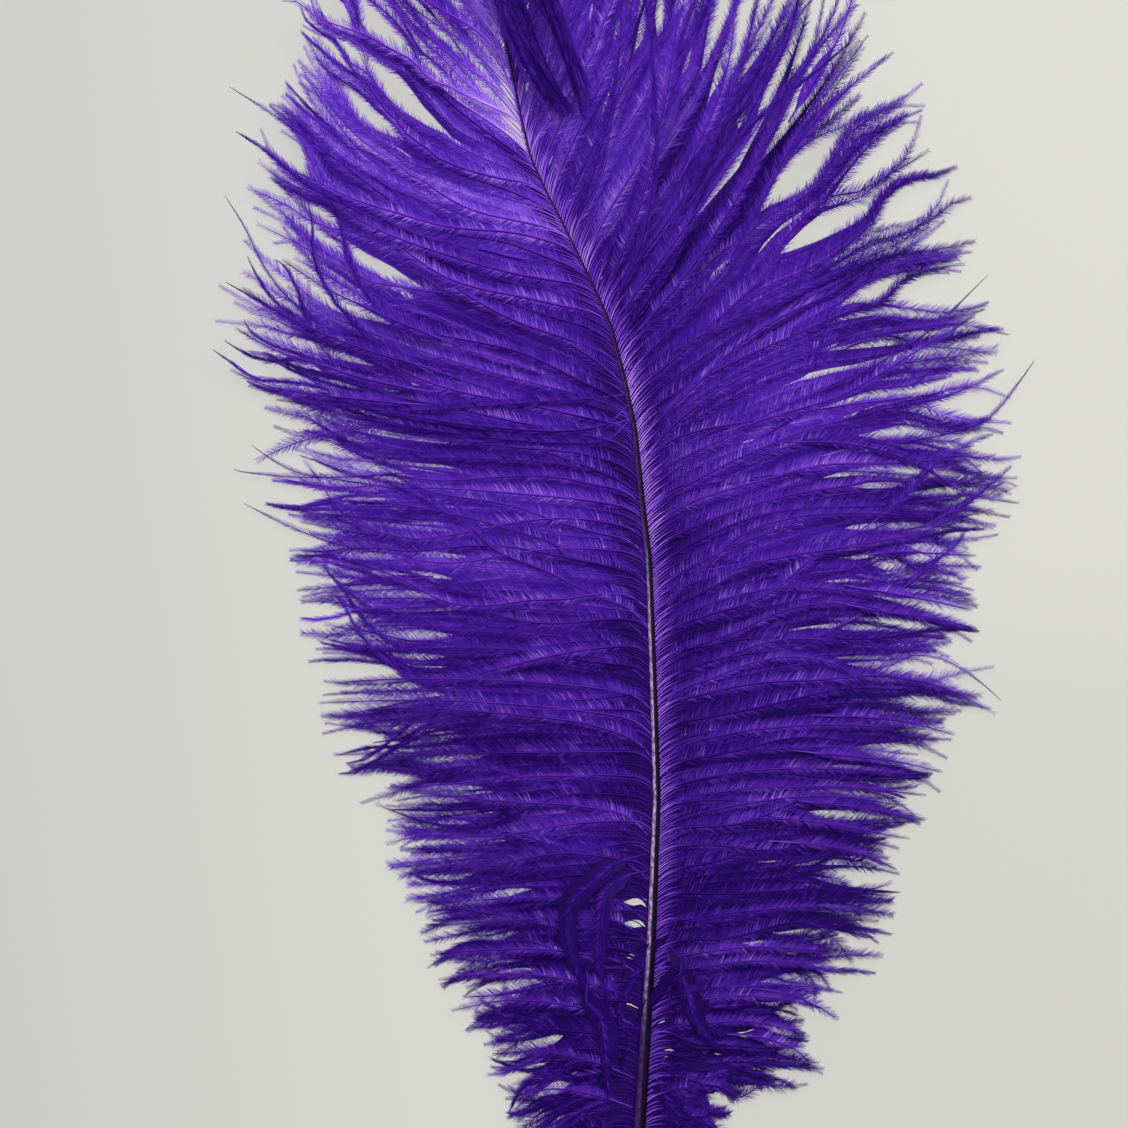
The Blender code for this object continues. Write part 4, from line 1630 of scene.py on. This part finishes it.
@dataclass
class Strands:
    """Single barbs that lie on top of the vanes on courses of their own."""

    shaft: ShaftCourse
    vanes: dict
    rows: tuple = STRANDS
    seed: int = 21

    def barbs(self) -> Barbs:
        """Lay the strands over the vanes.

        Returns:
            The strands as barbs.
        """
        dice = np.random.default_rng(self.seed)
        styles = [row[0].value for row in self.rows]
        plans = np.stack([through(row[1:], 2) for row in self.rows])
        heights = np.stack([self._over(plan, style.lift) for plan, style in zip(plans, styles)])
        places = np.concatenate([plans, heights[..., None]], axis=-1)
        tone, closed, fringe, bare, web, web_end, girth = (
            np.array([getattr(style, name) for style in styles])[:, None]
            for name in ("tone", "closed", "fringe", "bare", "web", "web_end", "girth"))
        count = len(self.rows)
        lengths = lengths_of(places)
        distance = SHARES * lengths[:, None]
        ending = smooth_step(SHARES, bare - 0.1, bare + 0.08)
        growing = 0.06 + 0.94 * smooth_step(distance, 4.0, 10.0)
        grade = Tier.TOP.value
        girth = 0.15 + (girth - 0.15) * smooth_step(distance, 1.0, 9.0)
        thinning = smooth_step(SHARES, 0.6, 0.8) * np.ones((count, 1))
        return Barbs(
            places=places,
            tiers=np.zeros(count, int),
            lengths=lengths,
            tones=(tone + spread(dice, 0.03, (count, 1))) * (1.0 - CHAR_DEPTH * ending),
            rolls=np.radians(spread(dice, 8.0, (count, 1)) * (1.0 + SHARES)),
            fringe=fringe * growing * (1.0 - 0.35 * SHARES) * (1.0 - 0.8 * ending),
            closed=np.clip(closed + 0.5 * smooth_step(SHARES, 0.5, 1.0), 0.0, 1.0),
            breadth=grade.breadth + (grade.edge_breadth - grade.breadth) * thinning,
            girth=girth * (1.0 - 0.68 * SHARES),
            streaks=np.array([1.0 if row[0] is FROND else 0.3 for row in self.rows]),
            webs=web[:, 0],
            combs=np.full(count, 5.0),
            narrows=np.full(count, 0.3),
            web_ends=web_end[:, 0],
            cores=np.zeros(count),
        )

    def _over(self, plan: Array, lift: float) -> Array:
        """Keep a course just above the vane that it crosses.

        Args:
            plan: The course seen from above, (stations, 2).
            lift: How far above, in millimetres.

        Returns:
            Its heights.
        """
        x, underside, half_width = self.shaft.at(plan[:, 1])
        reach = np.where(plan[:, 0] < x, *(
            self.vanes[side].courses.at(plan[:, 1])[0] for side in (Side.LEFT, Side.RIGHT)))
        away = np.abs(plan[:, 0] - x)
        share = np.clip(away / reach, 0.0, 1.0)
        start = underside + half_width * self.shaft.height_to_half_width / 2
        level = self.vanes[Side.LEFT].vault(start, plan[:, 1], share, away)
        return level + lift * smooth_step(away, 1.0, 11.0)


@dataclass
class Bundles:
    """The loose locks that curl over and fall back across the tip, dark where their barbs lie close."""

    courses: tuple = LOOSE_LOCKS
    barbs_each: int = 24
    half_width: float = 3.4
    half_depth: float = 0.8
    tone: float = 0.34
    seed: int = 31

    def barbs(self) -> Barbs:
        """Twist the bundles.

        Returns:
            Their barbs.
        """
        dice = np.random.default_rng(self.seed)
        profile = np.interp(SHARES, (0.0, 0.25, 0.5, 0.75, 1.0), (0.3, 0.8, 1.0, 0.95, 0.75))
        places = []
        for course in self.courses:
            middle = through(course, 3)
            tangent = unit(np.gradient(middle, axis=0))
            side = unit(np.cross(tangent, UP))
            over = np.cross(side, tangent)
            for _ in range(self.barbs_each):
                cut_at = SHARES * dice.uniform(0.66, 1.0)
                path = np.stack([np.interp(cut_at, SHARES, column) for column in middle.T], axis=1)
                drift = np.interp(SHARES, (0.0, 0.5, 1.0), spread(dice, 0.5, 3))
                path += side * (profile * drift * self.half_width)[:, None]
                path += over * (profile * dice.uniform(-1, 1) * self.half_depth)[:, None]
                places.append(path)
        places = np.stack(places)
        count = len(places)
        every = np.ones((count, STATIONS))
        return Barbs(
            places=places,
            tiers=np.full(count, 1),
            lengths=lengths_of(places),
            tones=(self.tone + spread(dice, 0.05, (count, 1))) * every,
            rolls=np.radians(spread(dice, 30.0, (count, 1))) * every,
            fringe=(0.85 - 0.35 * SHARES) * every,
            closed=(0.45 + 0.20 * SHARES) * every,
            breadth=0.18 * every,
            girth=0.18 * (1.0 - 0.7 * SHARES) * every,
            streaks=np.full(count, 0.4),
            webs=np.full(count, 0.8),
            combs=np.full(count, 2.0),
            narrows=np.full(count, 0.4),
            web_ends=np.full(count, 0.9),
            cores=np.full(count, 0.4),
        )


# ---- fringing


@dataclass(frozen=True)
class Row:
    """The barbules along one side of a barb.

    hand is 1 on the side towards the plume's tip and -1 on the other, length is their full length, angle
    their angle to the ramus in degrees, edge_angle the same near the point, and bend how much of it they
    lose on their way. shade is a painted tone added to theirs: painted shade on the rear row, a little
    painted light on the front row. glint is how strongly single ones are painted bright as glints, ruffle
    is how unlike neighbours are, in degrees, and slimness thins them inside the vane.
    """

    hand: float
    length: float
    angle: float
    edge_angle: float
    bend: float
    # Painted light and shade: below 0 darker, above 0 lighter.
    shade: float
    # How strongly single barbules are painted as glints.
    glint: float
    ruffle: float
    slimness: float


@dataclass
class Fringer:
    """Sets barbules along both sides of barbs, and gives each barb its ramus and its matted down.

    comb_shade_tone and comb_highlight are as in Vane. louver is how far the barbules are turned up on edge,
    in radians, and the tufts are the small groups that they cling together in. glint_tone is how much
    brighter a barbule is painted where it stands for a glint, and patch_length the distance between such
    patches. mat_from is where the down begins, in millimetres from the shaft, and web_shade is added to its
    tone as painted shade of the deep pile.
    """

    seed: int
    comb_shade_tone: float = 0.14
    comb_highlight: float = 0.06
    rows: tuple = (
        Row(1.0, 3.3, 56.0, 52.0, 8.0, 0.02, 1.0, 4.5, 0.9),
        Row(-1.0, 2.7, 34.0, 48.0, 4.0, -0.08, 0.75, 7.0, 0.68),
    )
    louver: float = 0.22
    tuft_gap: float = 0.85
    tuft_pull: float = 0.75
    tuft_tone: float = 0.075
    glint_tone: float = 0.36
    patch_length: float = 26.0
    mat_from: float = 0.05
    mat_least: float = 0.05
    web_shade: float = -0.205
    mat_steps: int = 16
    blade_segments: tuple = (2, 1, 1)
    reed_strides: tuple = (1, 2)

    def __post_init__(self) -> None:
        """Set up the dice and the patterns: a blade for each tier, and a fine and a coarse reed."""
        self.dice = np.random.default_rng(self.seed)
        self.blades = [Pattern.blade(segments) for segments in self.blade_segments]
        self.reeds = [Pattern.reed((STATIONS - 1) // stride + 1) for stride in self.reed_strides]
        self.mat = Pattern.mat(self.mat_steps)

    @staticmethod
    def _reader(barb: Array, spot: Array) -> Callable[[Array], Array]:
        """Make a function that reads station arrays at spots along barbs.

        Args:
            barb: Each spot's barb.
            spot: Its station number.

        Returns:
            The function.
        """
        low = np.minimum(spot.astype(int), STATIONS - 2)
        part = spot - low

        def read(values: Array) -> Array:
            """The values at the spots."""
            weight = part if values.ndim == 2 else part[:, None]
            return values[barb, low] * (1.0 - weight) + values[barb, low + 1] * weight

        return read

    @staticmethod
    def _spot(share: Array) -> Array:
        """The station number at a share of a barb's length."""
        return share ** (1.0 / STATION_POWER) * (STATIONS - 1)

    @staticmethod
    def _numbered(counts: Array) -> tuple[Array, Array]:
        """Count off items in groups: each item's group, and its number within it."""
        group = np.repeat(np.arange(len(counts)), counts)
        return group, np.arange(len(group)) - np.repeat(np.cumsum(counts) - counts, counts)

    def fringe(self, barbs: Barbs, sheaf: Sheaf) -> None:
        """Lay the barbules of a set of barbs.

        Args:
            barbs: The barbs.
            sheaf: Where the barbules are gathered.
        """
        for number, blade in enumerate(self.blades):
            some = barbs.part(barbs.tiers == number)
            if len(some) == 0:
                continue
            starts, gaps, crowding = (graded(some.tiers, name) for name in ("start", "gap", "crowding"))
            counts = np.maximum((some.lengths * (1.0 - starts) / gaps).astype(int), 2)
            barb, order = self._numbered(counts)
            for row in self.rows:
                even = (order + 0.5 + self.dice.uniform(-0.4, 0.4, len(barb))) / counts[barb]
                share = starts[barb] + (1.0 - starts[barb]) * even ** crowding[barb]
                self._row(some, barb, share, row, blade, sheaf)

    def _row(self, barbs: Barbs, barb: Array, share: Array, row: Row, blade: Pattern, sheaf: Sheaf) -> None:
        """Lay the barbules of one side of the barbs.

        Args:
            barbs: The barbs.
            barb: Each barbule's barb.
            share: Its share of the barb's length.
            row: How this side's barbules grow.
            blade: Their shape.
            sheaf: Where they are gathered.
        """
        dice, count = self.dice, len(barb)
        read = self._reader(barb, self._spot(share))
        tangent, side, back = (read(values) for values in barbs.frames())
        side = side * row.hand
        offset, tuft = self._tufts(barbs, barb, share)
        pulse = self._pulse(barbs, barb, share, offset, tuft[:, 0]) * row.glint
        uneven = 1.0 + 0.13 * tuft[:, 1] + spread(dice, 0.02 * row.ruffle, count)
        size = np.maximum(read(barbs.fringe) * row.length * uneven, 0.1)
        shut = 1.0 - 0.78 * read(barbs.closed)
        upper = smooth_step(barbs.places[:, 0, 1], *UPPER_FRINGE)[barb]
        outer = np.maximum(smooth_step(share, 0.40, 0.80), 0.8 * upper)
        angle = row.angle + (row.edge_angle - row.angle) * outer
        angle = angle + 4.0 * tuft[:, 2] + spread(dice, row.ruffle, count)
        open_angle = (np.radians(angle) * shut)[:, None]
        rise = (0.04 + 0.08 * pulse + spread(dice, 0.05, count))[:, None]
        first = unit(tangent * np.cos(open_angle) + side * np.sin(open_angle) + back * rise)
        open_angle = open_angle - np.radians(row.bend) * shut[:, None]
        second = unit(tangent * np.cos(open_angle) + side * np.sin(open_angle) - back * 0.10)
        tilt = (self.louver + spread(dice, 0.08, count))[:, None]
        flat = unit(np.cross(first, back))
        flat = unit(flat * np.cos(tilt) + back * np.sin(tilt))
        drawn = tangent * (offset * self.tuft_pull * np.minimum(size / row.length, 1.0))[:, None]
        girth = read(barbs.girth)
        base = read(barbs.places) + side * (girth * 0.9)[:, None] - back * 0.05
        knee = base + first * (size * 0.5)[:, None] - drawn * 0.4
        end = base + (first + second) * (size * 0.5)[:, None] - drawn
        # Painted light and shade: the row's shade, bright glints where pulse is high, and darker barbules
        # towards a tuft's edge as shade between tufts.
        tone = (read(barbs.tones) + row.shade * (1.0 - upper) + self.glint_tone * pulse
                + self.tuft_tone * tuft[:, 2] - 0.10 * (np.abs(offset) / self.tuft_gap)
                + spread(dice, 0.005 * row.ruffle, count))
        tone = np.maximum(tone, np.minimum(read(barbs.tones), 0.18))
        width = np.clip(size / row.length, 0.45, 1.0) * read(barbs.breadth)
        width = width * (row.slimness + (1.0 - row.slimness) * outer)
        segments = int(round(blade.points[:, 1].max()))
        bones = ((base, 1.0), (knee, 0.8), (end, 0.0)) if segments == 2 else ((base, 1.0), (end, 0.0))
        places = np.empty((count, len(blade), 3))
        for index, (across, along, _) in enumerate(blade.points):
            middle, narrow = bones[int(round(along))]
            places[:, index] = middle + flat * (width * across * narrow / 2)[:, None]
        dyes = np.empty((count, len(blade), 2))
        dyes[..., 0] = 0.25 + 0.75 * blade.points[:, 1] / segments
        dyes[..., 1] = tone[:, None] + 0.004 * blade.points[:, 0]
        sheaf.lay(blade, places, dyes)

    def _tufts(self, barbs: Barbs, barb: Array, share: Array) -> tuple[Array, Array]:
        """The small tufts that the barbules cling together in.

        Args:
            barbs: The barbs.
            barb: Each barbule's barb.
            share: Each barbule's share of its barb's length.

        Returns:
            Each barbule's distance along the barb from its tuft's middle, and three variations of its tuft.
        """
        phase = self.dice.random(len(barbs))[barb]
        place = share * barbs.lengths[barb]
        number = np.floor(place / self.tuft_gap + phase).astype(int)
        table = spread(self.dice, 1.0, (len(barbs), int(number.max()) + 1, 3))
        return place - (number + 0.5 - phase) * self.tuft_gap, table[barb, number]

    def _pulse(self, barbs: Barbs, barb: Array, share: Array, offset: Array, chance: Array) -> Array:
        """Find the barbules painted bright as glints, and tipped up a little: single ones, in patches along
        a barb.

        Args:
            barbs: The barbs.
            barb: Each barbule's barb.
            share: Its share of the barb's length.
            offset: Its distance from its tuft's middle.
            chance: How likely its tuft is to be lit.

        Returns:
            How strongly each is painted bright and tipped up, 0 to 1.
        """
        start = self.dice.uniform(0.0, 2 * math.pi, len(barbs))[barb]
        patch = np.sin(2 * math.pi * share * barbs.lengths[barb] / self.patch_length + start)
        single = 1.0 - smooth_step(np.abs(offset) / self.tuft_gap, 0.18, 0.45)
        inner = 1.0 - smooth_step(share, 0.55, 0.8)
        return (single * smooth_step(chance, -1.2, 0.8) * smooth_step(patch, -0.8, 0.5) * inner
                * barbs.streaks[barb])

    def mats(self, barbs: Barbs, sheaf: Sheaf) -> None:
        """Lay the matted down under each barb: dark and narrow in the comb beside the shaft, then broader;
        its dark tone is painted shade of the deep pile.

        Args:
            barbs: The barbs.
            sheaf: Where the down is gathered.
        """
        count, steps = len(barbs), self.mat_steps
        across, step, _ = self.mat.points.T
        step = np.rint(step).astype(int)
        ends = np.where(barbs.cores > 0.0, 0.97, barbs.web_ends)[:, None]
        first = (self.mat_from / barbs.lengths)[:, None]
        shares = first + (ends - first) * (np.linspace(0.0, 1.0, steps) ** 1.25)
        read = self._reader(np.repeat(np.arange(count), steps), self._spot(shares.ravel()))
        middle, side, back = (read(values).reshape(count, steps, 3)
                              for values in (barbs.places, barbs.frames()[1], barbs.frames()[2]))
        tone = read(barbs.tones).reshape(count, steps)
        blotch = spread(self.dice, 0.05, (count, 6))
        knots = np.linspace(0.0, 1.0, 6)
        tone = tone + np.stack([np.interp(some, knots, row) for some, row in zip(shares, blotch)])
        distance = shares * barbs.lengths[:, None]
        beyond = smooth_step(distance / barbs.combs[:, None], 0.6, 1.5)
        half = barbs.narrows[:, None] + (barbs.webs - barbs.narrows)[:, None] * beyond
        half = half * (1.0 - smooth_step(shares / barbs.web_ends[:, None], 0.6, 1.0))
        half = half * (1.0 - 0.55 * read(barbs.closed).reshape(count, steps))
        half = np.maximum(half, barbs.cores[:, None] * (1.0 - 0.6 * shares))
        half = half * (1.0 + spread(self.dice, 0.08, (count, steps)))
        half = np.where(GAPS.covers(middle.reshape(-1, 3)).reshape(count, steps), self.mat_least, half)
        half = np.maximum(half, self.mat_least)
        half[:, -1] = self.mat_least
        behind = np.where(barbs.tiers == 2, 0.9, 0.55)[:, None]
        reach = across * np.where(across < 0.0, behind, 1.0)
        places = (middle[:, step] + side[:, step] * (half[:, step] * reach)[..., None]
                  - back[:, step] * (0.12 + 0.14 * np.abs(across))[:, None])
        dyes = np.empty((*places.shape[:2], 2))
        dyes[..., 0] = 0.42 + 0.12 * np.abs(across)
        upper = smooth_step(barbs.places[:, :1, 1], *UPPER_FRINGE)
        # Painted shade: the down is dark beside the shaft, and web_shade keeps it darker than its barb
        # further out.
        comb = self.comb_shade_tone + 0.16 * upper
        dark = np.maximum(comb + (tone + self.web_shade * (1.0 - 0.3 * upper) - comb) * beyond, 0.13)
        dyes[..., 1] = dark[:, step]
        sheaf.lay(self.mat, places, dyes)

    def stalks(self, barbs: Barbs, sheaf: Sheaf) -> None:
        """Lay the rami of a set of barbs: dark, with one edge painted bright as a highlight, and painted
        lighter near the shaft.

        Args:
            barbs: The barbs.
            sheaf: Where the rami are gathered.
        """
        for stride, reed in zip(self.reed_strides, self.reeds):
            some = barbs.part((barbs.tiers == 2) == (stride == 2))
            if len(some) == 0:
                continue
            _, side, back = some.frames()
            girth = some.girth.copy()
            girth[:, -1] = 0.02
            across, over, station = reed.points.T
            station = np.rint(station).astype(int) * stride
            places = (some.places[:, station]
                      + side[:, station] * (girth[:, station] * across)[..., None]
                      + back[:, station] * (girth[:, station] * over * 1.3)[..., None])
            distance = SHARES * some.lengths[:, None]
            # Painted light: near the shaft the rami take the bright along place and gain comb_highlight.
            lit = 1.0 - smooth_step(distance * (8.0 / np.maximum(some.combs, 8.0))[:, None], 4.0, 9.0)
            lit = lit * (1.0 - 0.45 * smooth_step(some.places[:, :1, 1], *UPPER_STALKS))
            dyes = np.empty((*places.shape[:2], 2))
            # Painted highlight along one edge of each ramus.
            bright = np.where(across > 0.5, 0.12, 0.0)
            tones = some.tones * (1.0 - 0.25 * (1.0 - lit)) + self.comb_highlight * lit
            dyes[..., 0] = (0.05 + np.maximum(0.12 * lit[:, station], bright)) + 0.004 * over
            dyes[..., 1] = tones[:, station] + 0.01 * over
            sheaf.lay(reed, places, dyes)


# ---- pieces


@dataclass
class Shaft:
    """The quill and shaft: a long tapering horn, flat below and ridged above."""

    course: ShaftCourse
    horn: ShaftHorn
    name: str = "shaft"
    sides: int = 16
    step: float = 2.5

    def build(self) -> bpy.types.Object:
        """Model and dress the shaft.

        Returns:
            The shaft's object.
        """
        first, last = self.course.stations[0][1], self.course.stations[-1][1]
        places = np.arange(first, last + self.step / 2, self.step)
        x, underside, half_width = self.course.at(places)
        shape = bmesh.new()
        rings = []
        for index in range(len(places)):
            middle = Vector((x[index], places[index], underside[index])) * MM
            rings.append(self._ring(shape, middle, half_width[index] * MM))
        for lower, upper in zip(rings, rings[1:]):
            bmesh.ops.bridge_loops(shape, edges=lower + upper)
        bmesh.ops.holes_fill(shape, edges=rings[0] + rings[-1], sides=self.sides)
        bmesh.ops.recalc_face_normals(shape, faces=shape.faces)
        self._map(shape, first, last)
        mesh = mesh_of(shape, self.name)
        mesh.shade_smooth()
        mesh.materials.append(self.horn.material())
        return placed(self.name, mesh)

    def _ring(self, shape: bmesh.types.BMesh, middle: Vector,
              half_width: float) -> list[bmesh.types.BMEdge]:
        """Add a section of the shaft, standing across its course.

        Args:
            shape: The shaft's bmesh.
            middle: The middle of the section's underside.
            half_width: Its half width.

        Returns:
            Its edges.
        """
        ring = bmesh.ops.create_circle(shape, segments=self.sides, radius=half_width)["verts"]
        for vertex in ring:
            across, up = vertex.co.x, vertex.co.y
            top = max(up, 0.0) * self.course.height_to_half_width
            vertex.co = middle + Vector((across, 0.0, top + min(up, 0.0) * 0.02))
        return list({edge for vertex in ring for edge in vertex.link_edges})

    def _map(self, shape: bmesh.types.BMesh, first: float, last: float) -> None:
        """Unroll the shaft: U round it from its right edge over the top, V from quill to tip.

        Args:
            shape: The shaft's bmesh.
            first: The quill end's Y.
            last: The tip end's Y.
        """
        layer = shape.loops.layers.uv.new(DYE_MAP)
        for face in shape.faces:
            for loop in face.loops:
                place = loop.vert.co / MM
                x, underside, half_width = self.course.at(np.array([place.y]))
                across = np.clip((place.x - x[0]) / half_width[0], -1.0, 1.0)
                turn = math.acos(across) / (2 * math.pi)
                over = place.z > underside[0] + 0.02
                loop[layer].uv = (turn if over else 1.0 - turn, (place.y - first) / (last - first))


@dataclass
class Plume:
    """The whole plume: shaft and both vanes."""

    shaft_course: ShaftCourse = field(default_factory=ShaftCourse)
    bands: tuple = ("base", "middle", "tip")
    band_edges: tuple = (-150.0, -50.0, 45.0, 160.0)

    def build(self) -> None:
        """Build every piece and hang it on the frame."""
        self._settle(Shaft(self.shaft_course, ShaftHorn()).build(), SHAFT_SLOT)
        dye = BarbDye().material()
        left = Vane(
            Side.LEFT, LEFT_COURSES, LEFT_TIPS, self.shaft_course, seed=3, tip_gap=0.76, near_tone=-0.15,
            low_tone=-0.15, base_tone=-0.02, edge_tone=0.11, upper_tone=0.07, comb_shade_tone=0.0, comb_highlight=0.0,
            pale_combs=((96.0, 130.0, 19.0),), tight_share=0.34)
        right = Vane(
            Side.RIGHT, RIGHT_COURSES, RIGHT_TIPS, self.shaft_course, seed=4, tip_gap=0.64, near_tone=-0.02,
            low_tone=-0.19, base_tone=-0.06, edge_tone=-0.10, upper_tone=0.0, comb_shade_tone=0.19,
            comb_highlight=0.48, tight_share=0.18)
        for vane in (left, right):
            barbs = vane.barbs()
            fringer = Fringer(vane.seed + 10, vane.comb_shade_tone, vane.comb_highlight)
            roots = barbs.places[:, 0, 1]
            for band, low, high in zip(self.bands, self.band_edges, self.band_edges[1:]):
                some = barbs.part((roots >= low) & (roots < high))
                self._dress(f"{vane.side.name.lower()}_vane_{band}", some, fringer, dye)
        strands = Strands(self.shaft_course, {Side.LEFT: left, Side.RIGHT: right}).barbs()
        self._dress("crossing_barbs", strands, Fringer(41), dye)
        self._dress("fallen_locks", Bundles().barbs(), Fringer(42), dye)

    def _dress(self, name: str, barbs: Barbs, fringer: Fringer, dye: bpy.types.Material) -> None:
        """Make one fringed piece and hang it on the frame.

        Args:
            name: Its name.
            barbs: Its barbs.
            fringer: What fringes them.
            dye: Its material.
        """
        sheaf = Sheaf()
        fringer.fringe(barbs, sheaf)
        fringer.mats(barbs, sheaf)
        fringer.stalks(barbs, sheaf)
        piece = sheaf.bind(name)
        piece.data.materials.append(dye)
        self._settle(piece, FRINGE_SLOT)

    @staticmethod
    def _settle(piece: bpy.types.Object, slot: str) -> None:
        """Make a piece part of the plume, and report it.

        Args:
            piece: The piece.
            slot: Its material slot; not used.
        """
        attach(piece, BODY)
        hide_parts(NODE)
        faces = sum(len(polygon.vertices) - 2 for polygon in piece.data.polygons)
        LOG.info("%s: %d triangles", piece.name, faces)


@dataclass
class Studio:
    """The pale sheet, the soft light and the camera that looks straight down.

    Each lamp has a name, a place and a size in millimetres, a power in watts, and a colour. sheet_size is
    half the sheet's width in metres.
    """

    photo_pixels: int = 1128
    pixel_size: float = 0.24
    view_centre: tuple = (-14.9, 0.0)
    view_height: float = 4.0
    lens: float = 65.0
    sensor: float = 36.0
    sheet_size: float = 2.5
    room_light: float = 0.42
    lamps: tuple = (
        ("key", (-80.0, 430.0, 620.0), 420.0, 2.6, (0.97, 0.99, 1.04)),
        ("fill", (620.0, 200.0, 520.0), 500.0, 3.2, (1.02, 0.99, 0.95)),
    )

    def build(self) -> None:
        """Set up the sheet, lights and camera."""
        self._sheet()
        self._camera()
        for lamp in self.lamps:
            self._light(*lamp)
        world = bpy.data.worlds.new("soft_room")
        world.use_nodes = True
        background = world.node_tree.nodes["Background"]
        background.inputs["Color"].default_value = (1.0, 1.0, 1.0, 1.0)
        background.inputs["Strength"].default_value = self.room_light
        bpy.context.scene.world = world
        bpy.context.scene.view_settings.view_transform = "Standard"

    def _sheet(self) -> None:
        """Lay the pale sheet under the plume."""
        shape = bmesh.new()
        bmesh.ops.create_grid(shape, x_segments=1, y_segments=1, size=self.sheet_size)
        sheet = placed("sheet", mesh_of(shape, "sheet"))
        sheet.data.materials.append(Paper().material())

    def _camera(self) -> None:
        """Hang the camera over the plume, with the plume's +Y up the picture."""
        data = bpy.data.cameras.new("camera")
        data.lens = self.lens
        data.sensor_width = self.sensor
        camera = placed("camera", data)
        width = self.photo_pixels * self.pixel_size
        height = self.view_height + width * self.lens / self.sensor
        camera.location = Vector((*self.view_centre, height)) * MM
        bpy.context.scene.camera = camera

    @staticmethod
    def _light(name: str, place: tuple, size: float, power: float, colour: tuple) -> None:
        """Hang one soft square light that faces the plume.

        Args:
            name: Its name.
            place: Its place.
            size: Its width.
            power: Its power.
            colour: Its colour.
        """
        data = bpy.data.lights.new(name, "AREA")
        data.shape = "SQUARE"
        data.size = size * MM
        data.energy = power
        data.color = colour
        light = placed(name, data)
        light.location = Vector(place) * MM
        light.rotation_euler = (-light.location).to_track_quat("-Z", "Y").to_euler()


def main() -> None:
    """Build the plume and its studio."""
    logging.basicConfig(level=logging.INFO, format="%(name)s: %(message)s")
    Plume().build()
    Studio().build()


if __name__ == "__main__":
    main()
